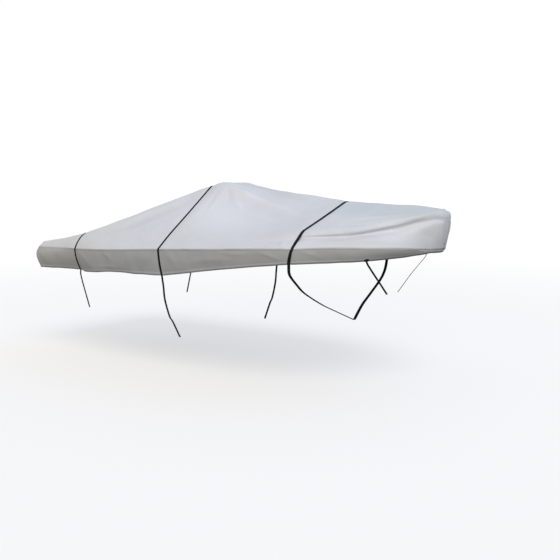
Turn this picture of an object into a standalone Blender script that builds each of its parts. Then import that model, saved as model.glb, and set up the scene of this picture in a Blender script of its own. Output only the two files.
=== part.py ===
"""Fitted cover for an open runabout, drawn over its hull and held by webbing straps.

Metres. +X is the bow, +Y port, +Z up. The origin is under the top of the cover, where the
hull's highest point carries the cloth. The cover is a hollow shell of five sewn panels:
two deck halves that meet on the ridge, two side skirts that meet at the stem, and a stern
skirt. Three straps cross over it and run down past the hem, and two ties leave the bow.
"""

import math

import bmesh
import bpy
import numpy as np

# ---- driving dimensions -------------------------------------------------------------
CLOTH = 0.002             # thickness of the coated polyester with its seam allowance
SEAM_SETBACK = 0.00021    # how far each panel stops short of the seam line
HALF_BEAM = 1.165         # widest half width, at the fold over the side
BEAM_X = -0.17            # where the cover is widest
BOW_TIP_X = 2.800         # fold at the stem
STERN_X = -2.560          # fold at the stern
STERN_HALF = 1.06         # half width at the stern
STERN_CORNER = 0.10       # plan radius of the stern corners
AFT_CURVE = 0.0178        # how fast the side closes in aft of the widest point
BOW_FULLNESS = 4.27       # exponents of the bow's plan curve: fullness, then nose
NOSE_FULLNESS = 1.40
NOSE_HALF_ARC = 0.16      # length of the bow outline on each side that rounds the nose
NOSE_FACE_X = 2.850       # the rail is blunt at the nose: a flat face this far forward,
NOSE_FACE_HALF = 0.110    # this wide on each side, that runs down to a point at the fold
NOSE_FACE_SHARE = 0.55    # share of the nose's rows that lie on that face
NOSE_FOOT_SHARE = 0.10    # and the share of the outline that they take up at the fold
NOSE_BULGE = 0.020        # how far the cloth below the rail is blown out there
TURN_UNDER = 0.55         # share of the skirt's lean that lies near its hem
FIRST_SIDE_ROW = -2.28    # station of the first mesh row forward of the stern corner
ROW_STEP = 0.21           # spacing of the mesh rows along the side
BOW_ROWS = 8              # mesh rows from the fore strap to the nose
BOW_EASING = 0.3          # how much closer together those rows stand at the nose
TOP_STEPS = 6             # mesh steps from ridge to rail, rail to side fold, fold to hem
SIDE_STEPS = 4
SKIRT_STEPS = 2
CROWN_FRACTIONS = (1.0, 0.88, 0.55, 0.28, 0.0)   # across half of the deck's middle strip

STRAP_THICK = 0.0015
STRAP_GAP = 0.0006        # between the strap and the cloth under it
TIE_WIDTH = 0.020
TIE_GAP = 0.0004          # between the cloth, the tie and the patch
TIE_ABOVE_HEM = 0.034     # how far up the skirt the tie's sewn end reaches
TIE_BELOW_HEM = 0.012     # where the tie turns towards the stem
PATCH = (0.046, 0.030, 0.0015)   # reinforcement over each bow tie: along hem, up, thick
PATCH_ABOVE_HEM = 0.004

# One row for each section, from stern to bow, by the x of the section's crown.
#   crown_w, crown_z   edge of the deck's middle strip: stern hip, peak, then bow ridge
#   rail_in, rail_z    shoulder: how far inside the side fold it lies, and its height
#   fold_z             fold over the side
#   hem_in, hem_z      hem: how far inside the side fold it hangs, and its height
#   hollow             depth of the trough below the shoulder, where the cloth is drawn in
#   belly              how far the skirt stands out between the fold and the hem
COLUMNS = ("x", "crown_w", "crown_z", "rail_in", "rail_z", "fold_z", "hem_in", "hem_z",
           "hollow", "belly")
SECTIONS = (
    (-2.46, 1.000, -0.766, 0.030, -0.788, -0.836, 0.012, -1.115, 0.000, 0.044),
    (-2.07, 0.988, -0.706, 0.050, -0.752, -0.822, 0.075, -1.100, 0.000, 0.018),
    (-1.69, 0.945, -0.627, 0.070, -0.697, -0.820, 0.085, -1.100, 0.000, 0.004),
    (-1.20, 0.717, -0.443, 0.120, -0.694, -0.808, 0.070, -1.084, 0.000, 0.000),
    (-0.67, 0.466, -0.230, 0.170, -0.636, -0.782, 0.062, -1.077, 0.000, 0.000),
    (-0.17, 0.229, -0.036, 0.190, -0.596, -0.755, 0.055, -1.068, 0.000, 0.000),
    (0.00, 0.200, 0.003, 0.190, -0.592, -0.748, 0.053, -1.046, 0.000, 0.000),
    (0.30, 0.130, -0.040, 0.190, -0.594, -0.733, 0.050, -1.003, 0.000, 0.000),
    (0.70, 0.070, -0.101, 0.190, -0.592, -0.715, 0.045, -0.948, 0.002, 0.000),
    (1.10, 0.050, -0.143, 0.190, -0.572, -0.694, 0.040, -0.898, 0.006, 0.000),
    (1.64, 0.030, -0.208, 0.190, -0.506, -0.676, 0.040, -0.842, 0.014, 0.000),
    (2.06, 0.045, -0.232, 0.170, -0.472, -0.656, 0.062, -0.814, 0.020, 0.000),
    (2.50, 0.060, -0.247, 0.125, -0.396, -0.666, 0.075, -0.780, 0.020, 0.000),
    (2.77, 0.085, -0.277, -0.038, -0.318, -0.698, 0.018, -0.727, 0.010, 0.000),
)
# Broad folds in the deck, seen in plan: a row for each, with the side it lies on (-1 is
# starboard), its two ends as x and half width, its half breadth, and its height.
FOLDS = (
    # side, x, w, to x, to w, breadth, height
    (-1, 0.09, 0.26, 1.30, 0.47, 0.13, 0.010),
    (-1, 0.12, 0.32, 0.62, 0.72, 0.13, -0.010),
    (-1, -1.58, 1.00, -0.17, 0.46, 0.12, -0.008),
    (1, 0.10, 0.28, 1.10, 0.62, 0.13, 0.010),
    (1, 0.05, 0.34, 0.40, 0.85, 0.13, -0.010),
    (1, -1.40, 0.95, -0.25, 0.50, 0.12, -0.008),
)
TOP_SAG = 0.005           # how far the cloth hangs below the straight line, ridge to rail
STERN_SAG = 0.030         # and across the middle of the stern slope, where it is 2 m wide
TROUGH_FADE = 0.5         # share by which the trough below the shoulder is weaker at its foot

# Over-straps: the station each crosses at, its width, then where its tail goes below the
# hem, as (x, half width, z). The fore strap passes under the hull and meets at y = 0.
STRAPS = {
    "strap_aft": (-1.69, 0.025, ((-1.690, 1.030, -1.200), (-1.690, 0.911, -1.597))),
    "strap_mid": (-0.17, 0.030, ((-0.170, 1.085, -1.200), (-0.170, 1.064, -1.357),
                                 (-0.170, 0.995, -1.554), (-0.170, 0.938, -1.634),
                                 (-0.170, 0.824, -1.831))),
    "strap_fore": (1.64, 0.038, ((1.585, 1.020, -0.950), (1.610, 0.930, -1.060),
                                 (1.624, 0.800, -1.165), (1.645, 0.520, -1.310),
                                 (1.675, 0.290, -1.410), (1.745, 0.000, -1.540))),
}
FORE_STRAP_DRIFT = -0.055  # the fore strap leans aft by this much from side fold to hem
DRIFT_LIFT = 0.0025       # and stands this much further off the cloth there
# Bow tie: from its patch on the hem down to the stem.
TIE_TAIL = ((2.292, 0.640, -0.842), (2.266, 0.470, -0.955), (2.249, 0.340, -1.042),
            (2.225, 0.120, -1.200))

COLOURS = {               # base colour, roughness
    "cloth": ((0.60, 0.62, 0.65, 1.0), 0.75),
    "webbing": ((0.015, 0.015, 0.018, 1.0), 0.65),
}


# ---- curves ---------------------------------------------------------------------------
def smooth(xs, ys, x):
    """Cubic curve through the table's points that never overshoots between two rows."""
    xs = np.asarray(xs, float)
    ys = np.asarray(ys, float)
    slope = np.diff(ys) / np.diff(xs)
    tangent = np.zeros(len(xs))
    for i in range(1, len(xs) - 1):
        if slope[i - 1] * slope[i] > 0.0:
            tangent[i] = 2.0 * slope[i - 1] * slope[i] / (slope[i - 1] + slope[i])
    tangent[0] = slope[0]
    tangent[-1] = slope[-1]
    x = min(max(x, xs[0]), xs[-1])
    i = min(int(np.searchsorted(xs, x, side="right")) - 1, len(xs) - 2)
    h = xs[i + 1] - xs[i]
    t = (x - xs[i]) / h
    return (ys[i] * (1 + 2 * t) * (1 - t) ** 2 + ys[i + 1] * t * t * (3 - 2 * t)
            + h * tangent[i] * t * (1 - t) ** 2 + h * tangent[i + 1] * t * t * (t - 1))


def section_values(x):
    """All columns of the section table at one station."""
    stations = [row[0] for row in SECTIONS]
    return {name: smooth(stations, [row[i] for row in SECTIONS], x)
            for i, name in enumerate(COLUMNS) if name != "x"}


def smooth_step(value, low, high):
    """0 below low, 1 above high and a soft slope between them."""
    t = min(max((value - low) / (high - low), 0.0), 1.0)
    return t * t * (3.0 - 2.0 * t)


def fold_height(x, y):
    """How far the folds lift the cloth at one plan point."""
    lift = 0.0
    for side, x0, w0, x1, w1, breadth, height in FOLDS:
        start = np.array((x0, side * w0))
        run = np.array((x1 - x0, side * (w1 - w0)))
        t = float(np.dot(np.array((x, y)) - start, run) / np.dot(run, run))
        if 0.0 < t < 1.0:
            off = float(np.linalg.norm(np.array((x, y)) - start - t * run))
            lift += height * math.sin(math.pi * t) * math.exp(-((off / breadth) ** 2))
    return lift


def side_half_width(x):
    """Half width of the side fold at x, aft of the nose."""
    if x <= BEAM_X:
        return HALF_BEAM - AFT_CURVE * (x - BEAM_X) ** 2
    r = (x - BEAM_X) / (BOW_TIP_X - BEAM_X)
    return HALF_BEAM * (1.0 - min(r, 1.0) ** BOW_FULLNESS) ** (1.0 / NOSE_FULLNESS)


def bow_outline(from_x, steps=400):
    """Plan points of the side fold from from_x to the stem, and their arc lengths."""
    start = math.asin(((from_x - BEAM_X) / (BOW_TIP_X - BEAM_X)) ** (BOW_FULLNESS / 2.0))
    angle = np.linspace(start, math.pi / 2.0, steps)
    x = BEAM_X + (BOW_TIP_X - BEAM_X) * np.sin(angle) ** (2.0 / BOW_FULLNESS)
    w = HALF_BEAM * np.cos(angle).clip(0.0) ** (2.0 / NOSE_FULLNESS)
    arc = np.concatenate(([0.0], np.cumsum(np.hypot(np.diff(x), np.diff(w)))))
    return x, w, arc


# ---- rows of the cover ----------------------------------------------------------------
def side_stations():
    """Stations of the rows along the side: even steps, with a pair under each strap."""
    marks = [FIRST_SIDE_ROW, 0.0]
    for station, width, _tail in STRAPS.values():
        marks += [station - width / 2.0, station + width / 2.0]
    marks.sort()
    stations = [marks[0]]
    for a, b in zip(marks, marks[1:]):
        count = max(1, round((b - a) / ROW_STEP))
        stations += [a + (b - a) * i / count for i in range(1, count + 1)]
    return stations


def half_ring():
    """Rows from the middle of the stern round the starboard side to the stem.

    Each row is (crown, fold, station): two plan points, with the half width positive to
    starboard, and the station that the section table is read at.
    """
    first = SECTIONS[0][0]
    last = SECTIONS[-1][0]
    corner_x = STERN_X + STERN_CORNER
    corner_w = STERN_HALF - STERN_CORNER
    crown_w = section_values(first)["crown_w"]
    rows = []
    for f in CROWN_FRACTIONS[:1:-1]:
        rows.append(((first, f * crown_w), (STERN_X, f * corner_w / CROWN_FRACTIONS[1]), first))
    for f, angle in ((CROWN_FRACTIONS[1], 0.0), (1.0, 45.0)):
        a = math.radians(angle)
        fold = (corner_x - STERN_CORNER * math.cos(a), corner_w + STERN_CORNER * math.sin(a))
        rows.append(((first, f * crown_w), fold, first))
    stations = side_stations()
    for x in [0.5 * (first + stations[0])] + stations:
        fold_x = corner_x if x < stations[0] else x
        rows.append(((x, section_values(x)["crown_w"]), (fold_x, side_half_width(fold_x)), x))
    bow_from = stations[-1]
    ox, ow, arc = bow_outline(bow_from)
    side_arc = arc[-1] - NOSE_HALF_ARC
    for i in range(1, BOW_ROWS + 1):
        t = i / BOW_ROWS
        s = side_arc * t
        x = bow_from + (last - bow_from) * ((1.0 + BOW_EASING) * t - BOW_EASING * t * t)
        fold = (float(np.interp(s, arc, ox)), float(np.interp(s, arc, ow)))
        rows.append(((x, section_values(x)["crown_w"]), fold, x))
    nose_w = section_values(last)["crown_w"]
    for f in CROWN_FRACTIONS[1:]:
        foot = np.interp(f, (0.0, NOSE_FACE_SHARE, 1.0), (0.0, NOSE_FOOT_SHARE, 1.0))
        s = arc[-1] - NOSE_HALF_ARC * foot
        fold = (float(np.interp(s, arc, ox)), float(np.interp(s, arc, ow)))
        rows.append(((last, f * nose_w), fold, last))
    return rows


def inward_directions(rows):
    """Plan direction of each row: to its crown, and square to the outline round the bow."""
    along = np.gradient(np.array([fold for _crown, fold, _station in rows]), axis=0)
    along[-1] = (0.0, -1.0)
    directions = []
    for (crown, fold, station), run in zip(rows, along):
        to_crown = np.array(crown) - np.array(fold)
        to_crown /= np.hypot(*to_crown)
        square = np.array((run[1], -run[0])) / np.hypot(*run)
        share = smooth_step(station, 2.0, 2.6)
        mixed = to_crown * (1.0 - share) + square * share
        directions.append(mixed / np.hypot(*mixed))
    return directions


def rail_places(rows, inward):
    """Plan points of the rail, with the blunt face at the nose."""
    rails = [np.array(fold) + way * section_values(station)["rail_in"]
             for (_crown, fold, station), way in zip(rows, inward)]
    corner = len(rows) - len(CROWN_FRACTIONS)
    edge_x, edge_w = rails[corner]
    shares = (0.0, NOSE_FACE_SHARE, 1.0)
    for k, f in enumerate(CROWN_FRACTIONS):
        x = np.interp(f, shares, (NOSE_FACE_X, NOSE_FACE_X, edge_x))
        w = np.interp(f, shares, (0.0, NOSE_FACE_HALF, edge_w))
        rails[corner + k] = np.array((x, w))
    return rails


def section_points(crown, fold, station, inward, rail):
    """Points of one row from its crown to its hem, starboard half (half width positive)."""
    v = section_values(station)
    crown = np.array(crown)
    fold = np.array(fold)
    reach = float(np.hypot(*(crown - fold)))
    bulge = NOSE_BULGE * smooth_step(station, 2.4, 2.77)
    points = []

    def add(plan, z):
        points.append((plan[0], plan[1], z))

    for i in range(TOP_STEPS):
        t = i / TOP_STEPS
        sag = TOP_SAG * min(1.0, reach / HALF_BEAM) * 4.0 * t * (1.0 - t)
        add(crown + (rail - crown) * t, v["crown_z"] + (v["rail_z"] - v["crown_z"]) * t - sag)
    for i in range(SIDE_STEPS):
        t = i / SIDE_STEPS
        trough = v["hollow"] * math.sin(2.0 * math.pi * t) * (1.0 - TROUGH_FADE * t)
        inset = trough - bulge * math.sin(math.pi * t)
        add(rail + (fold - rail) * t + inward * inset,
            v["rail_z"] + (v["fold_z"] - v["rail_z"]) * t)
    for i in range(SKIRT_STEPS + 1):
        t = i / SKIRT_STEPS
        belly = v["belly"] * math.sin(math.pi * t)
        lean = v["hem_in"] * t * (1.0 - TURN_UNDER * (1.0 - t))
        add(fold + inward * (lean - belly), v["fold_z"] + (v["hem_z"] - v["fold_z"]) * t)
    return points


RAIL = TOP_STEPS
FOLD = TOP_STEPS + SIDE_STEPS
HEM = FOLD + SKIRT_STEPS


def cover_grid():
    """Vertices of the whole outer face, and its quads by panel.

    Vertex keys are ("ring", row, step) round the edge and ("deck", row, column) inside
    the middle strip; the strip's own border is the ring's crown.
    """
    half = half_ring()
    inward = inward_directions(half)
    rails = rail_places(half, inward)
    n = len(half) - 1
    points = {}
    for k in range(2 * n):
        mirrored = k > n
        row = 2 * n - k if mirrored else k
        for j, (x, w, z) in enumerate(section_points(*half[row], inward[row], rails[row])):
            y = w if mirrored else -w
            lift = fold_height(x, y) if j < FOLD else 0.0
            points[("ring", k, j)] = np.array((x, y, z + lift))
    columns = len(CROWN_FRACTIONS) - 1
    fore = n - columns
    fractions = [-f for f in CROWN_FRACTIONS] + list(CROWN_FRACTIONS[-2::-1])

    def deck_key(k, c):
        """Key of middle strip vertex at starboard row k (from columns to fore), column c."""
        if k == columns:
            return ("ring", (columns - c) % (2 * n), 0)
        if k == fore:
            return ("ring", n - columns + c, 0)
        if c == 0:
            return ("ring", k, 0)
        if c == 2 * columns:
            return ("ring", 2 * n - k, 0)
        return ("deck", k, c)

    for k in range(columns, fore + 1):
        edge = points[("ring", k, 0)]
        slack = STERN_SAG * edge[1] ** 2
        for c in range(2 * columns + 1):
            key = deck_key(k, c)
            f = fractions[c]
            z = edge[2] - slack * (1.0 - f * f)
            points[key] = np.array((edge[0], -f * edge[1], z))

    panels = {name: [] for name in
              ("deck_starboard", "deck_port", "skirt_starboard", "skirt_port", "skirt_stern")}
    for k in range(columns, fore):
        for c in range(2 * columns):
            quad = [deck_key(k, c), deck_key(k + 1, c), deck_key(k + 1, c + 1), deck_key(k, c + 1)]
            panels["deck_starboard" if c < columns else "deck_port"].append(quad)
    corner = columns
    for k in range(2 * n):
        after = (k + 1) % (2 * n)
        starboard = k < n
        at_stern = k < corner or k >= 2 * n - corner
        for j in range(HEM):
            quad = [("ring", k, j), ("ring", k, j + 1), ("ring", after, j + 1), ("ring", after, j)]
            if j < FOLD:
                name = "deck_starboard" if starboard else "deck_port"
            elif at_stern:
                name = "skirt_stern"
            else:
                name = "skirt_starboard" if starboard else "skirt_port"
            panels[name].append(quad)
    return points, panels


def outward_normals(points, quads):
    """Unit normal of every vertex, averaged over the quads that meet there."""
    total = {key: np.zeros(3) for key in points}
    for quad in quads:
        a, b, c, d = (points[key] for key in quad)
        normal = np.cross(c - a, d - b)
        normal /= np.linalg.norm(normal)
        for key in quad:
            total[key] += normal
    return {key: value / np.linalg.norm(value) for key, value in total.items()
            if np.linalg.norm(value) > 0.0}


# ---- objects --------------------------------------------------------------------------
def material(kind, name):
    colour, roughness = COLOURS[kind]
    made = bpy.data.materials.new(name + "_finish")
    made.use_nodes = True
    shader = made.node_tree.nodes["Principled BSDF"]
    shader.inputs["Base Color"].default_value = colour
    shader.inputs["Roughness"].default_value = roughness
    shader.inputs["Metallic"].default_value = 0.0
    return made


def add_object(name, vertices, faces, kind):
    mesh = bpy.data.meshes.new(name)
    mesh.from_pydata([tuple(float(c) for c in v) for v in vertices], [], faces)
    if kind == "webbing":
        shell = bmesh.new()
        shell.from_mesh(mesh)
        bmesh.ops.recalc_face_normals(shell, faces=shell.faces)
        shell.to_mesh(mesh)
        shell.free()
    mesh.shade_smooth()
    mesh.set_sharp_from_angle(angle=math.radians(40.0))
    mesh.materials.append(material(kind, name))
    built = bpy.data.objects.new(name, mesh)
    bpy.context.scene.collection.objects.link(built)
    return built


def split(quad, places):
    """The two triangles of a quad, cut along its shorter diagonal."""
    a, b, c, d = quad
    if np.linalg.norm(places[a] - places[c]) <= np.linalg.norm(places[b] - places[d]):
        return [(a, b, c), (a, c, d)]
    return [(a, b, d), (b, c, d)]


def add_panel(name, quads, points, normals, seam_keys):
    """Close one panel: its outer face, the same face set in by CLOTH, and a rim."""
    border = {}
    for quad in quads:
        middle = sum(points[key] for key in quad) / 4.0
        for a, b in zip(quad, quad[1:] + quad[:1]):
            if (b, a) in border:
                del border[(b, a)]
            else:
                border[(a, b)] = middle
    setback = {}
    for (a, b), middle in border.items():
        if a in seam_keys and b in seam_keys:
            along = (points[b] - points[a]) / np.linalg.norm(points[b] - points[a])
            inward = middle - points[a]
            inward -= along * (inward @ along)
            for key in (a, b):
                setback[key] = setback.get(key, 0.0) + inward / np.linalg.norm(inward)
    keys = list(dict.fromkeys(key for quad in quads for key in quad))
    index = {key: i for i, key in enumerate(keys)}
    outer = []
    for key in keys:
        place = points[key].copy()
        if key in setback:
            place += setback[key] / np.linalg.norm(setback[key]) * SEAM_SETBACK
        outer.append(place)
    inner = [place - normals[key] * CLOTH for key, place in zip(keys, outer)]
    count = len(keys)
    faces = []
    for quad in quads:
        for triangle in split([index[key] for key in quad], outer):
            faces.append(triangle)
            faces.append([i + count for i in reversed(triangle)])
    for a, b in border:
        faces.append([index[b], index[a], index[a] + count, index[b] + count])
    return add_object(name, outer + inner, faces, "cloth")


def ribbon(name, lower, upper_side, closed):
    """A flat strap from pairs of edge points and the direction its outer face looks in."""
    vertices = []
    for (left, right), out in zip(lower, upper_side):
        vertices += [left, right, right + out * STRAP_THICK, left + out * STRAP_THICK]
    faces = []
    count = len(lower)
    for i in range(count if closed else count - 1):
        a = 4 * i
        b = 4 * ((i + 1) % count)
        for j in range(4):
            faces += split((a + j, a + (j + 1) % 4, b + (j + 1) % 4, b + j), vertices)
    if not closed:
        faces.append([3, 2, 1, 0])
        last = 4 * (count - 1)
        faces.append([last, last + 1, last + 2, last + 3])
    return add_object(name, vertices, faces, "webbing")


def row_keys_at(station, points):
    """Ring rows whose crown lies at this station, as (starboard row, port row)."""
    found = [key[1] for key, place in points.items()
             if key[0] == "ring" and key[2] == 0 and abs(place[0] - station) < 1e-6]
    return min(found), max(found)


def skirt_place(points, near, step, x):
    """The cloth at x on the same side and mesh step as a given skirt point."""
    side = [place for key, place in points.items()
            if key[0] == "ring" and key[2] == step and place[1] * near[1] > 0.0]
    side.sort(key=lambda place: place[0])
    xs = [place[0] for place in side]
    return np.array((x, np.interp(x, xs, [place[1] for place in side]),
                     np.interp(x, xs, [place[2] for place in side])))


def add_over_strap(name, station, width, tail, points, normals):
    """Strap across the cover at one station, from tail end to tail end."""
    half = width / 2.0
    drift = FORE_STRAP_DRIFT if name == "strap_fore" else 0.0
    rows = [row_keys_at(station + side * half, points) for side in (-1, 1)]
    (aft_star, aft_port), (fore_star, fore_port) = rows
    path = []
    for j in range(HEM, -1, -1):
        path.append((("ring", aft_star, j), ("ring", fore_star, j)))
    for c in range(1, 2 * (len(CROWN_FRACTIONS) - 1)):
        path.append((("deck", aft_star, c), ("deck", fore_star, c)))
    for j in range(HEM + 1):
        path.append((("ring", aft_port, j), ("ring", fore_port, j)))
    pairs = []
    outs = []
    for aft, fore in path:
        out = normals[aft] + normals[fore]
        out /= np.linalg.norm(out)
        ends = [points[aft], points[fore]]
        lift = STRAP_GAP
        if drift and aft[0] == "ring" and aft[2] > FOLD:
            share = (aft[2] - FOLD) / SKIRT_STEPS
            ends = [skirt_place(points, end, aft[2], end[0] + drift * share) for end in ends]
            lift += DRIFT_LIFT * share
        pairs.append([end + out * lift for end in ends])
        outs.append(out)
    side = np.array((half, 0.0, 0.0))
    tails = []
    for sign in (-1.0, 1.0):
        run = [np.array((x, sign * w, z)) for x, w, z in tail]
        tails.append([(p - side, p + side) for p in run])
    closed = tail[-1][1] == 0.0
    if closed:
        tails[1] = tails[1][:-1]
    starboard = tails[0][::-1]
    lower = starboard + pairs + tails[1]
    directions = []
    for i in range(len(lower)):
        if len(starboard) <= i < len(starboard) + len(pairs):
            directions.append(outs[i - len(starboard)])
            continue
        before = lower[i - 1] if (i > 0 or closed) else lower[i]
        behind = lower[(i + 1) % len(lower)] if (i + 1 < len(lower) or closed) else lower[i]
        along = sum(behind) - sum(before)
        out = np.cross(along, side)
        directions.append(-out / np.linalg.norm(out))
    return ribbon(name, lower, directions, closed)


def add_bow_tie(label, sign, points, normals):
    """Tie webbing sewn outside the hem, its tail to the stem, and the patch over its end."""
    ring_rows = [key for key in points if key[0] == "ring" and key[2] == HEM
                 and points[key][1] * sign > 0.0]
    anchor = min(ring_rows, key=lambda key: abs(points[key][0] - TIE_TAIL[0][0]))
    hem = points[anchor]
    out = normals[anchor]
    up = points[("ring", anchor[1], HEM - 1)] - hem
    up /= np.linalg.norm(up)
    along = np.cross(up, out)
    along /= np.linalg.norm(along)
    out = np.cross(along, up)
    half = along * TIE_WIDTH / 2.0
    sewn = hem + out * TIE_GAP
    start = [sewn + up * TIE_ABOVE_HEM, sewn, sewn - up * TIE_BELOW_HEM]
    run = start + [np.array((x, sign * w, z)) for x, w, z in TIE_TAIL]
    lower = [(p - half, p + half) for p in run]
    directions = []
    for i in range(len(run)):
        ahead = run[min(i + 1, len(run) - 1)] - run[max(i - 1, 0)]
        face = np.cross(ahead, along)
        face /= np.linalg.norm(face)
        directions.append(face if face @ out > 0.0 else -face)
    tie = ribbon("bow_tie_" + label, lower, directions, False)
    base = sewn + up * PATCH_ABOVE_HEM + out * (STRAP_THICK + TIE_GAP)
    corners = []
    for level in (0.0, PATCH[2]):
        for dx, dz in ((-0.5, 0.0), (0.5, 0.0), (0.5, 1.0), (-0.5, 1.0)):
            corners.append(base + along * dx * PATCH[0] + up * dz * PATCH[1] + out * level)
    faces = [[3, 2, 1, 0], [4, 5, 6, 7]]
    faces += [[i, (i + 1) % 4, (i + 1) % 4 + 4, i + 4] for i in range(4)]
    patch = add_object("tie_patch_" + label, corners, faces, "webbing")
    return tie, patch


def main():
    for old in list(bpy.data.objects):
        bpy.data.objects.remove(old, do_unlink=True)
    points, panels = cover_grid()
    all_quads = [quad for quads in panels.values() for quad in quads]
    normals = outward_normals(points, all_quads)
    users = {}
    for name, quads in panels.items():
        for quad in quads:
            for key in quad:
                users.setdefault(key, set()).add(name)
    seam_keys = {key for key, names in users.items() if len(names) > 1}
    for name, quads in panels.items():
        add_panel(name, quads, points, normals, seam_keys)
    for name, (station, width, tail) in STRAPS.items():
        add_over_strap(name, station, width, tail, points, normals)
    for label, sign in (("starboard", -1.0), ("port", 1.0)):
        add_bow_tie(label, sign, points, normals)


main()
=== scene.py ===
# %% [markdown]
# # A fitted boat cover
#
# The real thing is sewn from coated polyester: two deck panels that meet on the middle ridge,
# a skirt along each side and one across the stern. Three webbing straps pull it down and two
# short ties hold the bow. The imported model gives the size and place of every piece. This
# script makes the cloth and webbing that are seen.
#
# Metres. +X is the bow, +Y port, +Z up, and the origin is under the peak of the cover.

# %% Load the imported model
import math

import bmesh
import bpy
import numpy as np
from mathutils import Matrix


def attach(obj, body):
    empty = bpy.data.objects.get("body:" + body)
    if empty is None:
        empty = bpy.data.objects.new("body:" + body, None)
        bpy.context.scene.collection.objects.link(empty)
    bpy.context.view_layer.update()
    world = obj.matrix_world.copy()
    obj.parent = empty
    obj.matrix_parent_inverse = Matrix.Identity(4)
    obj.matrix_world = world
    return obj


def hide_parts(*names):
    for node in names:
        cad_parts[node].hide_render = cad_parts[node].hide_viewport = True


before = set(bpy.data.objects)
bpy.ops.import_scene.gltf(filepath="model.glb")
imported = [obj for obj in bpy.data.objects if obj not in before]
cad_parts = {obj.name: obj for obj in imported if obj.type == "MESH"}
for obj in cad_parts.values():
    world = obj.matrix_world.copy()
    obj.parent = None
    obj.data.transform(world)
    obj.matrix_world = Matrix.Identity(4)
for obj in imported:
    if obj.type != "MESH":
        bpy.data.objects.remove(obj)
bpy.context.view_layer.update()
print("CAD nodes:", ", ".join(sorted(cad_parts)))

# %% [markdown]
# ## The camera
#
# The camera is set first, because the folds are judged from where the photograph was taken:
# ahead of the beam on the starboard side, at about the height of the peak, a little downwards.

# %% Camera
CAMERA_PLACE = (6.327, -7.554, -0.046)
CAMERA_TURN = 36.67            # degrees round from square to the starboard side, to the bow
CAMERA_DOWN = 6.76             # degrees below the horizon
VIEW_ANGLE = 39.03             # degrees across the square picture

camera_data = bpy.data.cameras.new("camera")
camera_data.sensor_width = 36.0
camera_data.angle = math.radians(VIEW_ANGLE)
camera = bpy.data.objects.new("camera", camera_data)
camera.location = CAMERA_PLACE
camera.rotation_euler = (math.radians(90.0 - CAMERA_DOWN), 0.0, math.radians(CAMERA_TURN))
bpy.context.scene.collection.objects.link(camera)
bpy.context.scene.camera = camera
print("lens", round(camera_data.lens, 2), "mm")

# %% [markdown]
# ## The shape that the cloth is drawn into
#
# A cover like this is drafted as sections. Each row of the table is one section across it:
# the edge of the middle strip, the shoulder where the cloth turns down, called the rail here,
# the fold over the side, and the hem. A smooth curve through each column gives every section
# in between, so a few dimensions drive the whole sheet.

# %% Driving dimensions
HALF_BEAM = 1.165              # widest half width, at the fold over the side
BEAM_X = -0.17                 # where the cover is widest
BOW_TIP_X = 2.800              # fold at the stem
STERN_X = -2.560               # fold at the stern
STERN_HALF = 1.06              # half width at the stern
STERN_CORNER = 0.10            # plan radius of the stern corners
AFT_CURVE = 0.0178             # how fast the side closes in aft of the widest point
BOW_FULLNESS = 4.27            # exponents of the bow's plan curve: fullness, then nose
NOSE_FULLNESS = 1.40
NOSE_HALF_ARC = 0.16           # length of the bow outline on each side that rounds the nose
NOSE_FACE_X = 2.866            # the rail is blunt at the nose: a face this far forward,
NOSE_FACE_HALF = 0.110         # this wide on each side, that runs down to a point at the fold
NOSE_FACE_ROUND = 0.012        # rounded back by this much at its edges
NOSE_FACE_SHARE = 0.55         # share of the nose's rows that lie on that face
NOSE_FOOT_SHARE = 0.10         # and the share of the outline that they take up at the fold
NOSE_BULGE = 0.016             # how far the cloth below the rail is blown out there,
BULGE_ZONE = (2.40, 2.77)      # which begins and is full at these stations
FIRST_SIDE_ROW = -2.28         # station of the first whole section forward of the stern corner
BOW_FROM = 1.6525              # where the sections begin to fan round the bow
BOW_EASING = 0.3               # how much closer together they stand at the nose
TOP_SAG = 0.005                # how far the cloth hangs below a straight line, ridge to rail
STERN_SAG = 0.030              # and across the middle of the stern slope, where it is 2 m wide
HEM_SAG = 0.020                # the hem hangs this much lower ahead of the aft strap,
HEM_SAG_IN = (-1.68, -1.58)    # with a slope into the sag between these stations
HEM_SAG_OUT = (-1.50, -0.98)   # and out of it between these
TROUGH_DEEP = 2.6              # the trough under the rail is this many times its table value,
TROUGH_BREADTH = 0.036         # this broad on each side of its middle,
TROUGH_BELOW = (0.112, 0.104, 0.050)  # and its middle lies this far below the rail
TROUGH_AT = (2.00, 2.55, 2.77)        # at these stations
TROUGH_FADE = (0.30, 0.75)     # it fades out between these shares of the nose's rows
CLOTH = 0.002                  # thickness of the coated cloth

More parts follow.
